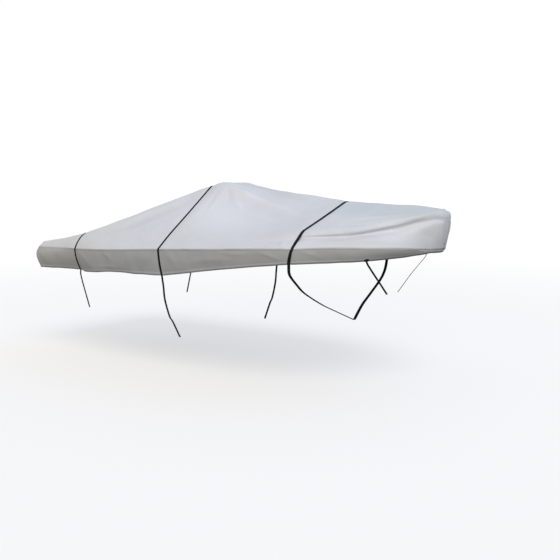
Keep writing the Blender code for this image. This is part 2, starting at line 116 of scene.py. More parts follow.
SECTION_COLUMNS = ("x", "crown_w", "crown_z", "rail_in", "rail_z", "fold_z", "hem_in",
                   "hem_z", "hollow", "belly")
SECTIONS = (
    (-2.46, 1.000, -0.766, 0.030, -0.788, -0.836, 0.012, -1.115, 0.000, 0.044),
    (-2.07, 0.988, -0.706, 0.050, -0.752, -0.822, 0.075, -1.100, 0.000, 0.018),
    (-1.69, 0.945, -0.627, 0.070, -0.697, -0.820, 0.085, -1.100, 0.000, 0.004),
    (-1.20, 0.717, -0.443, 0.120, -0.694, -0.808, 0.070, -1.084, 0.000, 0.000),
    (-0.67, 0.466, -0.230, 0.170, -0.636, -0.782, 0.062, -1.077, 0.000, 0.000),
    (-0.17, 0.229, -0.036, 0.190, -0.596, -0.755, 0.055, -1.068, 0.000, 0.000),
    (0.00, 0.200, 0.003, 0.190, -0.592, -0.748, 0.053, -1.046, 0.000, 0.000),
    (0.30, 0.130, -0.040, 0.190, -0.594, -0.733, 0.050, -1.003, 0.000, 0.000),
    (0.70, 0.070, -0.101, 0.190, -0.592, -0.715, 0.045, -0.948, 0.002, 0.000),
    (1.10, 0.050, -0.143, 0.190, -0.572, -0.694, 0.040, -0.898, 0.006, 0.000),
    (1.64, 0.030, -0.208, 0.190, -0.506, -0.676, 0.040, -0.842, 0.014, 0.000),
    (2.06, 0.045, -0.232, 0.170, -0.472, -0.656, 0.062, -0.814, 0.020, 0.000),
    (2.50, 0.060, -0.247, 0.125, -0.396, -0.666, 0.075, -0.780, 0.020, 0.000),
    (2.77, 0.085, -0.277, -0.038, -0.318, -0.698, 0.018, -0.727, 0.010, 0.000),
)
STATIONS = np.array([row[0] for row in SECTIONS])


def smooth(ys, x):
    """Cubic curve through a column of the table that never overshoots between two rows."""
    ys = np.asarray(ys, float)
    step = np.diff(STATIONS)
    slope = np.diff(ys) / step
    tangent = np.zeros(len(ys))
    rising = slope[:-1] * slope[1:]
    same = rising > 0.0
    tangent[1:-1][same] = 2.0 * rising[same] / (slope[:-1] + slope[1:])[same]
    tangent[0] = slope[0]
    tangent[-1] = slope[-1]
    x = np.clip(x, STATIONS[0], STATIONS[-1])
    i = np.clip(np.searchsorted(STATIONS, x, side="right") - 1, 0, len(ys) - 2)
    h = step[i]
    t = (x - STATIONS[i]) / h
    return (ys[i] * (1 + 2 * t) * (1 - t) ** 2 + ys[i + 1] * t * t * (3 - 2 * t)
            + h * tangent[i] * t * (1 - t) ** 2 + h * tangent[i + 1] * t * t * (t - 1))


def smooth_step(value, low, high):
    """0 below low, 1 above high and a soft slope between them."""
    t = np.clip((value - low) / (high - low), 0.0, 1.0)
    return t * t * (3.0 - 2.0 * t)


def section_values(x):
    """All columns of the section table at each station of x, with the hem's sag."""
    values = {name: smooth([row[i] for row in SECTIONS], x)
              for i, name in enumerate(SECTION_COLUMNS) if name != "x"}
    loose = smooth_step(x, *HEM_SAG_IN) * (1.0 - smooth_step(x, *HEM_SAG_OUT))
    values["hem_z"] = values["hem_z"] - HEM_SAG * loose
    return values


print("sections from", STATIONS[0], "to", STATIONS[-1], "m")

# %% [markdown]
# ## Rows round the cover
#
# The mesh is a ring of rows, each from the middle strip out and down to the hem, with the
# strip laid between them like a plank. The rows start in the middle of the stern, turn the
# corner, go forward along the side and fan out round the bow to the stem. Quads then follow
# the cloth everywhere, which keeps folds clean and gives the weave a direction.

# %% Rows of the starboard half
ROW_STEP = 0.019               # spacing of the rows along the side
STERN_ROWS = 34                # rows across half of the flat stern
CORNER_ROWS = 6                # rows round each half of the stern corner
STERN_FLAT = 0.88              # share of the middle strip's half width that ends at the flat
STRAP_STATIONS = {"strap_aft": -1.69, "strap_mid": -0.17, "strap_fore": 1.64}
STRAP_WIDTHS = {"strap_aft": 0.025, "strap_mid": 0.030, "strap_fore": 0.038}


def bow_outline(steps=800):
    """Plan points of the side fold from BOW_FROM to the stem, and their arc lengths."""
    length = BOW_TIP_X - BEAM_X
    start = math.asin(((BOW_FROM - BEAM_X) / length) ** (BOW_FULLNESS / 2.0))
    angle = np.linspace(start, math.pi / 2.0, steps)
    x = BEAM_X + length * np.sin(angle) ** (2.0 / BOW_FULLNESS)
    w = HALF_BEAM * np.cos(angle).clip(0.0) ** (2.0 / NOSE_FULLNESS)
    arc = np.concatenate(([0.0], np.cumsum(np.hypot(np.diff(x), np.diff(w)))))
    return x, w, arc


def side_half_width(x):
    """Half width of the side fold at x, aft of the nose."""
    aft = HALF_BEAM - AFT_CURVE * (x - BEAM_X) ** 2
    r = np.clip((x - BEAM_X) / (BOW_TIP_X - BEAM_X), 0.0, 1.0)
    fore = HALF_BEAM * (1.0 - r ** BOW_FULLNESS) ** (1.0 / NOSE_FULLNESS)
    return np.where(x <= BEAM_X, aft, fore)


def side_stations():
    """Stations along the side: even steps, with rows at both edges of each strap."""
    marks = [FIRST_SIDE_ROW, 0.0]
    for name, station in STRAP_STATIONS.items():
        half = STRAP_WIDTHS[name] / 2.0
        marks += [station - half, station + half]
    marks.sort()
    stations = [marks[0]]
    for a, b in zip(marks, marks[1:]):
        count = max(1, round((b - a) / ROW_STEP))
        stations += [a + (b - a) * i / count for i in range(1, count + 1)]
    return stations


def half_rows():
    """Each row as crown x, crown half width, fold x, fold half width and station."""
    first = STATIONS[0]
    last = STATIONS[-1]
    corner_x = STERN_X + STERN_CORNER
    corner_w = STERN_HALF - STERN_CORNER
    crown_w = float(section_values(first)["crown_w"])
    half_turn = math.pi / 4.0
    rows = []
    for i in range(STERN_ROWS):
        f = STERN_FLAT * i / STERN_ROWS
        rows.append((first, f * crown_w, STERN_X, f * corner_w / STERN_FLAT, first))
    for i in range(CORNER_ROWS + 1):
        t = i / CORNER_ROWS
        f = STERN_FLAT + (1.0 - STERN_FLAT) * t
        x = corner_x - STERN_CORNER * math.cos(half_turn * t)
        w = corner_w + STERN_CORNER * math.sin(half_turn * t)
        rows.append((first, f * crown_w, x, w, first))
    columns = len(rows) - 1
    turned = 0.5 * (first + FIRST_SIDE_ROW)
    for i in range(1, CORNER_ROWS + 1):
        t = i / CORNER_ROWS
        crown_x = first + (turned - first) * t
        x = corner_x - STERN_CORNER * math.cos(half_turn * (1.0 + t))
        w = corner_w + STERN_CORNER * math.sin(half_turn * (1.0 + t))
        w += (float(side_half_width(corner_x)) - STERN_HALF) * t
        rows.append((crown_x, float(section_values(crown_x)["crown_w"]), x, w, crown_x))
    between = max(1, round((FIRST_SIDE_ROW - corner_x) / ROW_STEP))
    for i in range(1, between):
        t = i / between
        crown_x = turned + (FIRST_SIDE_ROW - turned) * t
        x = corner_x + (FIRST_SIDE_ROW - corner_x) * t
        rows.append((crown_x, float(section_values(crown_x)["crown_w"]), x,
                     float(side_half_width(x)), crown_x))
    for x in side_stations():
        rows.append((x, float(section_values(x)["crown_w"]), x, float(side_half_width(x)), x))
    ox, ow, arc = bow_outline()
    side_arc = arc[-1] - NOSE_HALF_ARC
    bow_rows = round(side_arc / ROW_STEP)
    for i in range(1, bow_rows + 1):
        t = i / bow_rows
        x = BOW_FROM + (last - BOW_FROM) * ((1.0 + BOW_EASING) * t - BOW_EASING * t * t)
        s = side_arc * t
        rows.append((x, float(section_values(x)["crown_w"]), float(np.interp(s, arc, ox)),
                     float(np.interp(s, arc, ow)), x))
    nose_w = float(section_values(last)["crown_w"])
    for i in range(1, columns + 1):
        f = 1.0 - i / columns
        foot = np.interp(f, (0.0, NOSE_FACE_SHARE, 1.0), (0.0, NOSE_FOOT_SHARE, 1.0))
        s = arc[-1] - NOSE_HALF_ARC * foot
        rows.append((last, f * nose_w, float(np.interp(s, arc, ox)),
                     float(np.interp(s, arc, ow)), last))
    return np.array(rows), columns


ROWS, COLUMNS = half_rows()
LAST_ROW = len(ROWS) - 1
FORE_ROW = LAST_ROW - COLUMNS
print(len(ROWS), "rows on each side,", COLUMNS, "columns in half of the middle strip")

# %% [markdown]
# ## From crown to hem
#
# Along a row the cloth sags a little from the ridge to the rail, is drawn in below the rail
# on the bow, and turns down over the side into the skirt. The corners of that outline are
# then rounded by a moving average along its length: cloth over a tube takes the tube's
# radius, so the rail gets a wide one and the side fold a tight one.

# %% Points along the rows
TOP_STEPS = 56                 # steps of a row from the crown to the rail,
SIDE_STEPS = 26                # from there to the side fold,
SKIRT_STEPS = 14               # and down the skirt between its two turnings
SEAM_BAND = 0.013              # the felled seam below the side fold
HEM_BAND = 0.026               # the turning at the hem
BAND_STEP = 0.0012             # a turned edge drops to one layer within this distance
RAIL = TOP_STEPS               # number of the step at the rail, the side fold and the hem
FOLD = TOP_STEPS + SIDE_STEPS
HEM = FOLD + 2 + SKIRT_STEPS + 2
HIP_ROUND = (0.018, 0.060)     # half lengths of the moving average at the hip: peak, bow
RAIL_ROUND = (0.085, 0.020, 0.055)  # at the rail: amidships, bow, stem
FOLD_ROUND = 0.010             # at the side fold
HIP_ZONE = (0.3, 1.3)          # stations between which the hip's rounding grows,
RAIL_ZONE = (1.15, 2.10)       # the rail's gets tight,
STEM_ZONE = (2.60, 2.77)       # the rail's gets wider again at the stem,
SQUARE_ZONE = (2.0, 2.6)       # and the rows turn square to the bow's outline
ROUND_SAMPLES = 15             # samples of the moving average
FINE_STEPS = 0.62              # share of the side steps that lie in the zone of the trough,
FINE_ZONE = 0.13               # which ends this far below the rail
TURN_UNDER = 0.80              # share of the skirt's lean that lies near its hem
BELLY_HIGH = 0.75              # exponent that moves the skirt's belly up towards the fold


def inward_directions(to_crown):
    """Plan direction of each row: to the crown, and square to the outline round the bow."""
    fold = ROWS[:, 2:4]
    along = np.gradient(fold, axis=0)
    along[-1] = (0.0, -1.0)
    along /= np.linalg.norm(along, axis=1)[:, None]
    square = np.column_stack((along[:, 1], -along[:, 0]))
    share = smooth_step(ROWS[:, 4], *SQUARE_ZONE)[:, None]
    mixed = to_crown * (1.0 - share) + square * share
    return mixed / np.linalg.norm(mixed, axis=1)[:, None]


def row_points():
    """Outer face of the cover at every row and step, starboard half, w positive."""
    v = section_values(ROWS[:, 4])
    crown = ROWS[:, 0:2]
    fold = ROWS[:, 2:4]
    across = crown - fold
    reach = np.linalg.norm(across, axis=1)
    inward = inward_directions(across / reach[:, None])
    rail = fold + inward * v["rail_in"][:, None]
    f = np.arange(COLUMNS, -1, -1) / COLUMNS
    marks = (0.0, NOSE_FACE_SHARE, 1.0)
    face_x = np.interp(f, marks, (NOSE_FACE_X, NOSE_FACE_X, rail[FORE_ROW, 0] + NOSE_FACE_ROUND))
    face_x -= NOSE_FACE_ROUND * np.minimum(1.0, f / NOSE_FACE_SHARE) ** 2
    face_w = np.interp(f, marks, (0.0, NOSE_FACE_HALF, rail[FORE_ROW, 1]))
    rail[FORE_ROW:] = np.column_stack((face_x, face_w))
    t = (np.arange(TOP_STEPS) / TOP_STEPS)[None, :]
    sag = TOP_SAG * np.minimum(1.0, reach / HALF_BEAM)[:, None] * 4.0 * t * (1.0 - t)
    top = crown[:, None, :] + (rail - crown)[:, None, :] * t[:, :, None]
    height = [v["crown_z"][:, None] + (v["rail_z"] - v["crown_z"])[:, None] * t - sag]
    drop = np.hypot(np.linalg.norm(rail - fold, axis=1), v["rail_z"] - v["fold_z"])[:, None]
    zone = np.minimum(FINE_STEPS, FINE_ZONE / drop)
    t = (np.arange(SIDE_STEPS) / SIDE_STEPS)[None, :]
    t = np.where(t < FINE_STEPS, t / FINE_STEPS * zone,
                 zone + (t - FINE_STEPS) / (1.0 - FINE_STEPS) * (1.0 - zone))
    deep = TROUGH_DEEP * v["hollow"]
    deep[FORE_ROW:] *= smooth_step(f, *TROUGH_FADE)
    middle = np.interp(ROWS[:, 4], TROUGH_AT, TROUGH_BELOW)[:, None]
    trough = deep[:, None] * np.exp(-((t * drop - middle) / TROUGH_BREADTH) ** 2)
    bulge = NOSE_BULGE * smooth_step(ROWS[:, 4], *BULGE_ZONE)[:, None] * np.sin(math.pi * t)
    side = rail[:, None, :] + (fold - rail)[:, None, :] * t[:, :, None]
    side += inward[:, None, :] * (trough - bulge)[:, :, None]
    height.append(v["rail_z"][:, None] + (v["fold_z"] - v["rail_z"])[:, None] * t)
    depth = v["fold_z"] - v["hem_z"]
    down = [np.zeros_like(depth), np.full_like(depth, SEAM_BAND - BAND_STEP)]
    for i in range(SKIRT_STEPS + 1):
        down.append(SEAM_BAND + (depth - SEAM_BAND - HEM_BAND) * i / SKIRT_STEPS)
    down.append(depth - HEM_BAND + BAND_STEP)
    down.append(depth)
    down = np.array(down).T
    t = down / depth[:, None]
    belly = v["belly"][:, None] * np.sin(math.pi * t ** BELLY_HIGH)
    inset = v["hem_in"][:, None] * t * (1.0 - TURN_UNDER * (1.0 - t)) - belly
    skirt = fold[:, None, :] + inward[:, None, :] * inset[:, :, None]
    height.append(v["fold_z"][:, None] - down)
    height = np.concatenate(height, axis=1)
    plan = np.concatenate((top, side, skirt), axis=1)
    return np.concatenate((plan, height[:, :, None]), axis=2)


def strip_points(k):
    """Half of the middle strip at one row, from the middle line out to the crown."""
    x, crown_w = ROWS[k, 0:2]
    f = np.arange(COLUMNS + 1) / COLUMNS
    if k >= COLUMNS:
        knee = 1.0 - CORNER_ROWS / COLUMNS
        f = np.where(f <= knee, f * STERN_FLAT / knee,
                     STERN_FLAT + (f - knee) * (1.0 - STERN_FLAT) / (1.0 - knee))
    slack = STERN_SAG * crown_w ** 2
    z = float(section_values(x)["crown_z"]) - slack * (1.0 - f * f)
    return np.column_stack((np.full_like(f, x), f * crown_w, z))


def rounded(points, corners):
    """Moving average along a line of points, with (index, half length) for each corner."""
    run = np.concatenate(([0.0], np.cumsum(np.linalg.norm(np.diff(points, axis=0), axis=1))))
    half = np.zeros(len(points))
    for index, length in corners:
        away = np.abs(run - run[index]) / (2.0 * length)
        half = np.maximum(half, length * np.clip(1.0 - away * away, 0.0, 1.0))
    half = np.minimum(half, np.minimum(run - run[0], run[-1] - run))
    total = np.zeros_like(points)
    offsets = np.linspace(-1.0, 1.0, ROUND_SAMPLES)
    for offset in offsets:
        for axis in range(3):
            total[:, axis] += np.interp(run + offset * half, run, points[:, axis])
    return total / len(offsets)


def round_rows(ring):
    """Round hip, rail and fold on every row, and return the ring and the strip's halves."""
    strips = {}
    for k in range(len(ring)):
        bare = smooth_step(ROWS[k, 4], *RAIL_ZONE)
        stem = smooth_step(ROWS[k, 4], *STEM_ZONE)
        rail_round = RAIL_ROUND[0] + (RAIL_ROUND[1] - RAIL_ROUND[0]) * bare
        rail_round += (RAIL_ROUND[2] - rail_round) * stem
        corners = [(RAIL, rail_round), (FOLD, FOLD_ROUND)]
        if not COLUMNS <= k <= FORE_ROW:
            ring[k] = rounded(ring[k], corners)
            continue
        half = strip_points(k)
        mirrored = half[:0:-1] * np.array((1.0, -1.0, 1.0))
        line = np.concatenate((mirrored, half[:-1], ring[k]))
        start = 2 * COLUMNS
        wide = smooth_step(ROWS[k, 4], *HIP_ZONE)
        hip = HIP_ROUND[0] + (HIP_ROUND[1] - HIP_ROUND[0]) * wide
        line = rounded(line, [(start + i, length) for i, length in corners + [(0, hip)]]
                       + [(0, hip)])
        strips[k] = line[COLUMNS:start + 1]
        ring[k] = line[start:]
    return ring, strips


HALF_RING, HALF_STRIPS = round_rows(row_points())
print("half cover:", HALF_RING.shape[0], "x", HALF_RING.shape[1], "points")

# %% [markdown]
# ## One mesh for the whole cover
#
# Both halves are numbered into one set of points before any fold is made, so that a fold can
# cross a seam as it does on the real cover. The panels are cut from it afterwards.

# %% Number the points and collect the quads by panel
PANELS = ("deck_starboard", "deck_port", "skirt_starboard", "skirt_port", "skirt_stern")


def build_cover():
    """Points of the outer face, the ring's point numbers, and each panel's quads."""
    n = LAST_ROW
    points = []
    ring_ids = np.zeros((2 * n, HEM + 1), int)
    for k in range(2 * n):
        port = k > n
        row = HALF_RING[2 * n - k if port else k]
        side = 1.0 if port else -1.0
        ring_ids[k] = np.arange(len(points), len(points) + HEM + 1)
        points += [(x, side * w, z) for x, w, z in row]
    strip_ids = np.zeros((FORE_ROW + 1, 2 * COLUMNS + 1), int)
    for k in range(COLUMNS, FORE_ROW + 1):
        for c in range(2 * COLUMNS + 1):
            if k == COLUMNS:
                strip_ids[k, c] = ring_ids[(COLUMNS - c) % (2 * n), 0]
            elif k == FORE_ROW:
                strip_ids[k, c] = ring_ids[n - COLUMNS + c, 0]
            elif c == 0:
                strip_ids[k, c] = ring_ids[k, 0]
            elif c == 2 * COLUMNS:
                strip_ids[k, c] = ring_ids[2 * n - k, 0]
            else:
                x, w, z = HALF_STRIPS[k][abs(c - COLUMNS)]
                strip_ids[k, c] = len(points)
                points.append((x, w if c > COLUMNS else -w, z))
    quads = {name: [] for name in PANELS}
    for k in range(COLUMNS, FORE_ROW):
        for c in range(2 * COLUMNS):
            name = "deck_starboard" if c < COLUMNS else "deck_port"
            quads[name].append((strip_ids[k, c], strip_ids[k + 1, c],
                                strip_ids[k + 1, c + 1], strip_ids[k, c + 1]))
    for k in range(2 * n):
        after = (k + 1) % (2 * n)
        side = "starboard" if k < n else "port"
        at_stern = k < COLUMNS or k >= 2 * n - COLUMNS
        for j in range(HEM):
            name = "deck_" + side if j < FOLD else "skirt_" + side
            if at_stern and j >= FOLD:
                name = "skirt_stern"
            quads[name].append((ring_ids[k, j], ring_ids[k, j + 1],
                                ring_ids[after, j + 1], ring_ids[after, j]))
    return np.array(points), ring_ids, strip_ids, {n: np.array(q) for n, q in quads.items()}


BASE, RING_IDS, STRIP_IDS, QUADS = build_cover()
ALL_QUADS = np.concatenate([QUADS[name] for name in PANELS])
print(len(BASE), "points,", len(ALL_QUADS), "quads")


def normals_of(points):
    """Unit normal of every point, from the quads round it."""
    a, b, c, d = (points[ALL_QUADS[:, i]] for i in range(4))
    face = np.cross(c - a, d - b)
    total = np.zeros_like(points)
    for i in range(4):
        np.add.at(total, ALL_QUADS[:, i], face)
    return total / np.linalg.norm(total, axis=1)[:, None]


BASE_NORMALS = normals_of(BASE)

# %% [markdown]
# ## Where each point lies on the cloth
#
# Folds and weave need cloth coordinates, not space: how far along the cover a point is, and
# how far down the cloth from the ridge or from the side fold. Those lengths are measured
# along the mesh rows and become the UV map, in metres, so the weave keeps its true scale.

# %% Cloth coordinates
def cloth_coordinates():
    """For each point: UV on the deck, UV on the skirt, and depth below the side fold."""
    deck = np.zeros((len(BASE), 2))
    skirt = np.zeros((len(BASE), 2))
    depth = np.zeros(len(BASE))
    n = LAST_ROW
    fold_line = BASE[RING_IDS[:, FOLD]]
    along = np.concatenate(([0.0], np.cumsum(
        np.linalg.norm(np.diff(fold_line, axis=0), axis=1))))
    for k in range(2 * n):
        row = BASE[RING_IDS[k]]
        step = np.diff(row, axis=0)
        half_k = 2 * n - k if k > n else k
        if half_k < COLUMNS or half_k > FORE_ROW:
            run = np.concatenate(([0.0], np.cumsum(np.hypot(step[:, 0], step[:, 2]))))
            way = -1.0 if half_k < COLUMNS else 1.0
            deck[RING_IDS[k]] = np.column_stack((row[0, 0] + way * run, row[:, 1]))
        else:
            run = np.concatenate(([0.0], np.cumsum(np.hypot(step[:, 1], step[:, 2]))))
            way = 1.0 if k > n else -1.0
            deck[RING_IDS[k]] = np.column_stack((row[:, 0], row[0, 1] + way * run))
        fall = np.concatenate(([0.0], np.cumsum(np.linalg.norm(step, axis=1))))
        fall -= fall[FOLD]
        skirt[RING_IDS[k]] = np.column_stack((np.full(HEM + 1, along[k]), -fall))
        depth[RING_IDS[k]] = fall
    inside = STRIP_IDS[COLUMNS + 1:FORE_ROW, 1:-1].ravel()
    deck[inside] = BASE[inside, 0:2]
    depth[inside] = -1.0
    return deck, skirt, depth


DECK_UV, SKIRT_UV, BELOW_FOLD = cloth_coordinates()
print("skirt length", round(float(SKIRT_UV[:, 0].max()), 2), "m round the cover")

# %% [markdown]
# ## Folds and creases
#
# Taut cloth creases in straight lines that run from where it is held: here the corners of
# the peak, the rail and the straps. Each fold is a row of a table with a short path, so it
# can be read and moved by hand. A fold is a soft hump or trough across its path, highest
# part of the way along and gone at both ends.

# %% Folds of the deck, as plan paths of (x, half width)
# Each has its side (-1 starboard, 1 port), path, breadth, height, how crisp it is from 0 to 1,
# and how far along the path it is highest.
DECK_FOLDS = (
    # rays from the peak, starboard
    (-1, ((0.07, 0.22), (0.46, 0.25), (0.89, 0.33), (1.31, 0.46)), 0.052, 0.034, 0.6, 0.25),
    (-1, ((0.10, 0.13), (0.50, 0.12), (0.90, 0.13), (1.45, 0.16)), 0.055, -0.014, 0.0, 0.35),
    (-1, ((0.09, 0.25), (0.18, 0.33), (0.28, 0.45)), 0.034, -0.015, 0.4, 0.35),
    (-1, ((0.20, 0.27), (0.38, 0.40), (0.56, 0.52)), 0.032, 0.012, 0.5, 0.45),
    (-1, ((0.05, 0.28), (0.10, 0.55), (0.18, 0.86)), 0.050, 0.007, 0.4, 0.25),
    (-1, ((0.02, 0.28), (0.03, 0.50), (0.06, 0.72)), 0.040, -0.005, 0.4, 0.25),
    (-1, ((0.72, 0.53), (0.88, 0.57), (1.08, 0.61)), 0.028, 0.009, 0.7, 0.50),
    (-1, ((0.60, 0.46), (0.90, 0.51), (1.20, 0.58)), 0.060, -0.010, 0.2, 0.50),
    # aft slope, beside the hip
    (-1, ((-1.75, 1.05), (-1.11, 0.91), (-0.74, 0.75), (-0.20, 0.43)), 0.060, -0.014, 0.2, 0.60),
    (-1, ((-1.40, 0.92), (-1.08, 0.75), (-0.83, 0.63), (-0.38, 0.42)), 0.045, 0.008, 0.3, 0.50),
    (-1, ((-0.95, 0.93), (-0.60, 0.80), (-0.30, 0.62)), 0.070, -0.010, 0.2, 0.50),
    # over the side fold, ahead of the middle
    (-1, ((1.05, 1.11), (1.19, 1.06), (1.35, 1.04), (1.48, 1.02)), 0.020, 0.012, 0.8, 0.50),
    (-1, ((1.43, 0.99), (1.49, 1.04), (1.55, 1.08)), 0.020, 0.014, 0.8, 0.60),
    (-1, ((0.86, 1.08), (1.02, 1.05), (1.20, 1.00)), 0.030, 0.007, 0.6, 0.50),
    # foredeck, starboard
    (-1, ((1.70, 0.82), (2.40, 0.61), (2.87, 0.05)), 0.030, 0.009, 0.6, 0.40),
    (-1, ((1.78, 0.57), (2.45, 0.29), (2.80, 0.09)), 0.035, 0.010, 0.6, 0.40),
    (-1, ((1.80, 0.75), (2.39, 0.49), (2.83, 0.15)), 0.035, -0.010, 0.4, 0.40),
    # port, a plainer set
    (1, ((0.08, 0.24), (0.50, 0.33), (1.15, 0.52)), 0.055, 0.024, 0.6, 0.25),
    (1, ((0.08, 0.28), (0.30, 0.50), (0.55, 0.78)), 0.050, -0.017, 0.4, 0.35),
    (1, ((0.03, 0.28), (0.05, 0.55), (0.12, 0.86)), 0.050, 0.010, 0.4, 0.25),
    (1, ((0.10, 0.22), (0.60, 0.17), (1.30, 0.20)), 0.045, -0.012, 0.0, 0.30),
    (1, ((-1.90, 1.03), (-1.10, 0.90), (-0.20, 0.52)), 0.060, -0.010, 0.2, 0.60),
    (1, ((-1.45, 0.98), (-0.95, 0.80), (-0.45, 0.58)), 0.060, 0.010, 0.3, 0.50),
    (1, ((1.72, 0.85), (2.35, 0.62), (2.84, 0.08)), 0.030, 0.009, 0.6, 0.40),
    (1, ((1.80, 0.60), (2.40, 0.33), (2.78, 0.11)), 0.035, 0.010, 0.6, 0.40),
    (1, ((1.00, 1.06), (1.20, 1.03), (1.42, 0.97)), 0.026, 0.010, 0.7, 0.50),
)
print(len(DECK_FOLDS), "folds on the deck")

# %% Folds of the skirt, as paths of (x, depth below the fold)
SKIRT_FOLDS = (
    (-1, ((-1.62, 0.03), (-1.50, 0.14), (-1.42, 0.27)), 0.040, 0.006, 0.4, 0.40),
    (-1, ((-1.16, 0.03), (-1.05, 0.09), (-0.98, 0.16)), 0.022, 0.006, 0.7, 0.40),
    (-1, ((-1.35, 0.24), (-1.10, 0.22), (-0.80, 0.25)), 0.022, 0.006, 0.6, 0.50),
    (-1, ((-1.20, 0.27), (-0.95, 0.26), (-0.62, 0.29)), 0.018, -0.004, 0.6, 0.50),
    (-1, ((-0.30, 0.03), (-0.42, 0.14), (-0.50, 0.28)), 0.050, 0.007, 0.3, 0.40),
    (-1, ((-0.05, 0.04), (0.06, 0.14), (0.12, 0.27)), 0.050, 0.006, 0.3, 0.40),
    (-1, ((0.20, 0.17), (0.60, 0.12), (1.00, 0.13)), 0.035, 0.005, 0.3, 0.50),
    (-1, ((0.70, 0.03), (0.95, 0.06), (1.20, 0.05)), 0.022, 0.005, 0.6, 0.50),
    (-1, ((1.20, 0.03), (1.38, 0.07), (1.52, 0.13)), 0.026, 0.006, 0.5, 0.50),
    (-1, ((1.70, 0.02), (1.85, 0.07), (1.95, 0.12)), 0.030, 0.005, 0.4, 0.50),
    (-1, ((-2.42, 0.05), (-2.36, 0.14), (-2.33, 0.25)), 0.035, 0.007, 0.4, 0.40),
    (-1, ((-2.15, 0.04), (-2.10, 0.15), (-2.12, 0.26)), 0.050, -0.006, 0.2, 0.50),
    (1, ((-1.58, 0.03), (-1.48, 0.14), (-1.38, 0.27)), 0.040, 0.006, 0.4, 0.40),
    (1, ((-1.00, 0.03), (-0.92, 0.12), (-0.88, 0.22)), 0.030, 0.006, 0.6, 0.40),
    (1, ((-0.28, 0.03), (-0.38, 0.14), (-0.46, 0.28)), 0.050, 0.007, 0.3, 0.40),
    (1, ((-0.04, 0.04), (0.08, 0.14), (0.16, 0.27)), 0.050, 0.006, 0.3, 0.40),
    (1, ((0.40, 0.16), (0.75, 0.12), (1.05, 0.12)), 0.035, 0.005, 0.3, 0.50),
    (1, ((1.22, 0.03), (1.40, 0.07), (1.52, 0.12)), 0.026, 0.006, 0.5, 0.50),
    (1, ((-2.40, 0.05), (-2.34, 0.14), (-2.32, 0.25)), 0.035, 0.007, 0.4, 0.40),
)
BOW_FOLDS = (                  # paths of (distance from the stem, height above the side fold)
    # first the crease down the corner of the nose
    (-1, ((0.062, 0.37), (0.050, 0.22), (0.036, 0.09), (0.012, 0.00)), 0.012, 0.006, 0.6, 0.50),
    (-1, ((1.30, 0.045), (0.80, 0.075), (0.35, 0.070)), 0.030, 0.005, 0.4, 0.50),
    (-1, ((0.34, 0.20), (0.24, 0.15), (0.13, 0.13)), 0.040, -0.006, 0.3, 0.50),
    (1, ((0.062, 0.37), (0.050, 0.22), (0.036, 0.09), (0.012, 0.00)), 0.012, 0.004, 0.5, 0.50),
    (1, ((1.15, 0.050), (0.70, 0.080), (0.30, 0.060)), 0.030, 0.005, 0.4, 0.50),
)
print(len(SKIRT_FOLDS), "folds on the skirts,", len(BOW_FOLDS), "on the bow's sides")


# %% How a fold lifts the cloth
FOLD_REACH = 4.0               # a fold is worked out within this many breadths of its path
CREASE_TIP = 0.2               # a crisp fold is rounded over this share of its breadth
CREASE_FALL = 0.55             # and falls to a third within this share of it
FOLD_TAPER = 0.8               # exponent of a fold's rise and fall along its path


def curve_through(path, count=24):
    """Smooth curve through the few points of a path, evenly in its parameter."""
    path = np.asarray(path, float)
    ends = np.concatenate(([2 * path[0] - path[1]], path, [2 * path[-1] - path[-2]]))
    out = []
    for t in np.linspace(0.0, len(path) - 1 - 1e-9, count):
        i = int(t)
        u = t - i
        p0, p1, p2, p3 = ends[i:i + 4]
        out.append(0.5 * (2 * p1 + (p2 - p0) * u + (2 * p0 - 5 * p1 + 4 * p2 - p3) * u * u
                          + (3 * p1 - p0 - 3 * p2 + p3) * u ** 3))
    return np.array(out)


def near_path(points, path):
    """Distance of each point from a path, and how far along it, from 0 to 1."""
    best = np.full(len(points), np.inf)
    along = np.zeros(len(points))
    lengths = np.linalg.norm(np.diff(path, axis=0), axis=1)
    run = np.concatenate(([0.0], np.cumsum(lengths)))
    for a, b, start, length in zip(path, path[1:], run, lengths):
        t = np.clip((points - a) @ (b - a) / length ** 2, 0.0, 1.0)
        away = np.linalg.norm(points - a - t[:, None] * (b - a), axis=1)
        nearer = away < best
        best[nearer] = away[nearer]
        along[nearer] = (start + t[nearer] * length) / run[-1]
    return best, along


def fold_lift(flat, folds, side_of, chosen, signed=False):
    """Sum of the folds at each chosen point, whose flat coordinates are given.

    Signed coordinates have port positive, so that a fold can run over the middle line.
    """
    lift = np.zeros(len(flat))
    for side, path, breadth, height, crisp, peak_at in folds:
        route = curve_through(path)
        low = route.min(axis=0) - FOLD_REACH * breadth
        high = route.max(axis=0) + FOLD_REACH * breadth
        spots = flat * np.array((1.0, side)) if signed else flat
        inside = np.all((spots > low) & (spots < high), axis=1) & chosen
        if not signed:
            inside &= side_of == side
        away, along = near_path(spots[inside], route)
        soft = np.exp(-(away / breadth) ** 2)
        edge = CREASE_TIP * breadth
        sharp = np.exp(-(np.sqrt(away ** 2 + edge ** 2) - edge) / (CREASE_FALL * breadth))
        shape = crisp * sharp + (1.0 - crisp) * soft
        rise = np.clip(along / peak_at, 0.0, 1.0)
        fall = np.clip((1.0 - along) / (1.0 - peak_at), 0.0, 1.0)
        lift[inside] += height * shape * np.minimum(rise, fall) ** FOLD_TAPER
    return lift
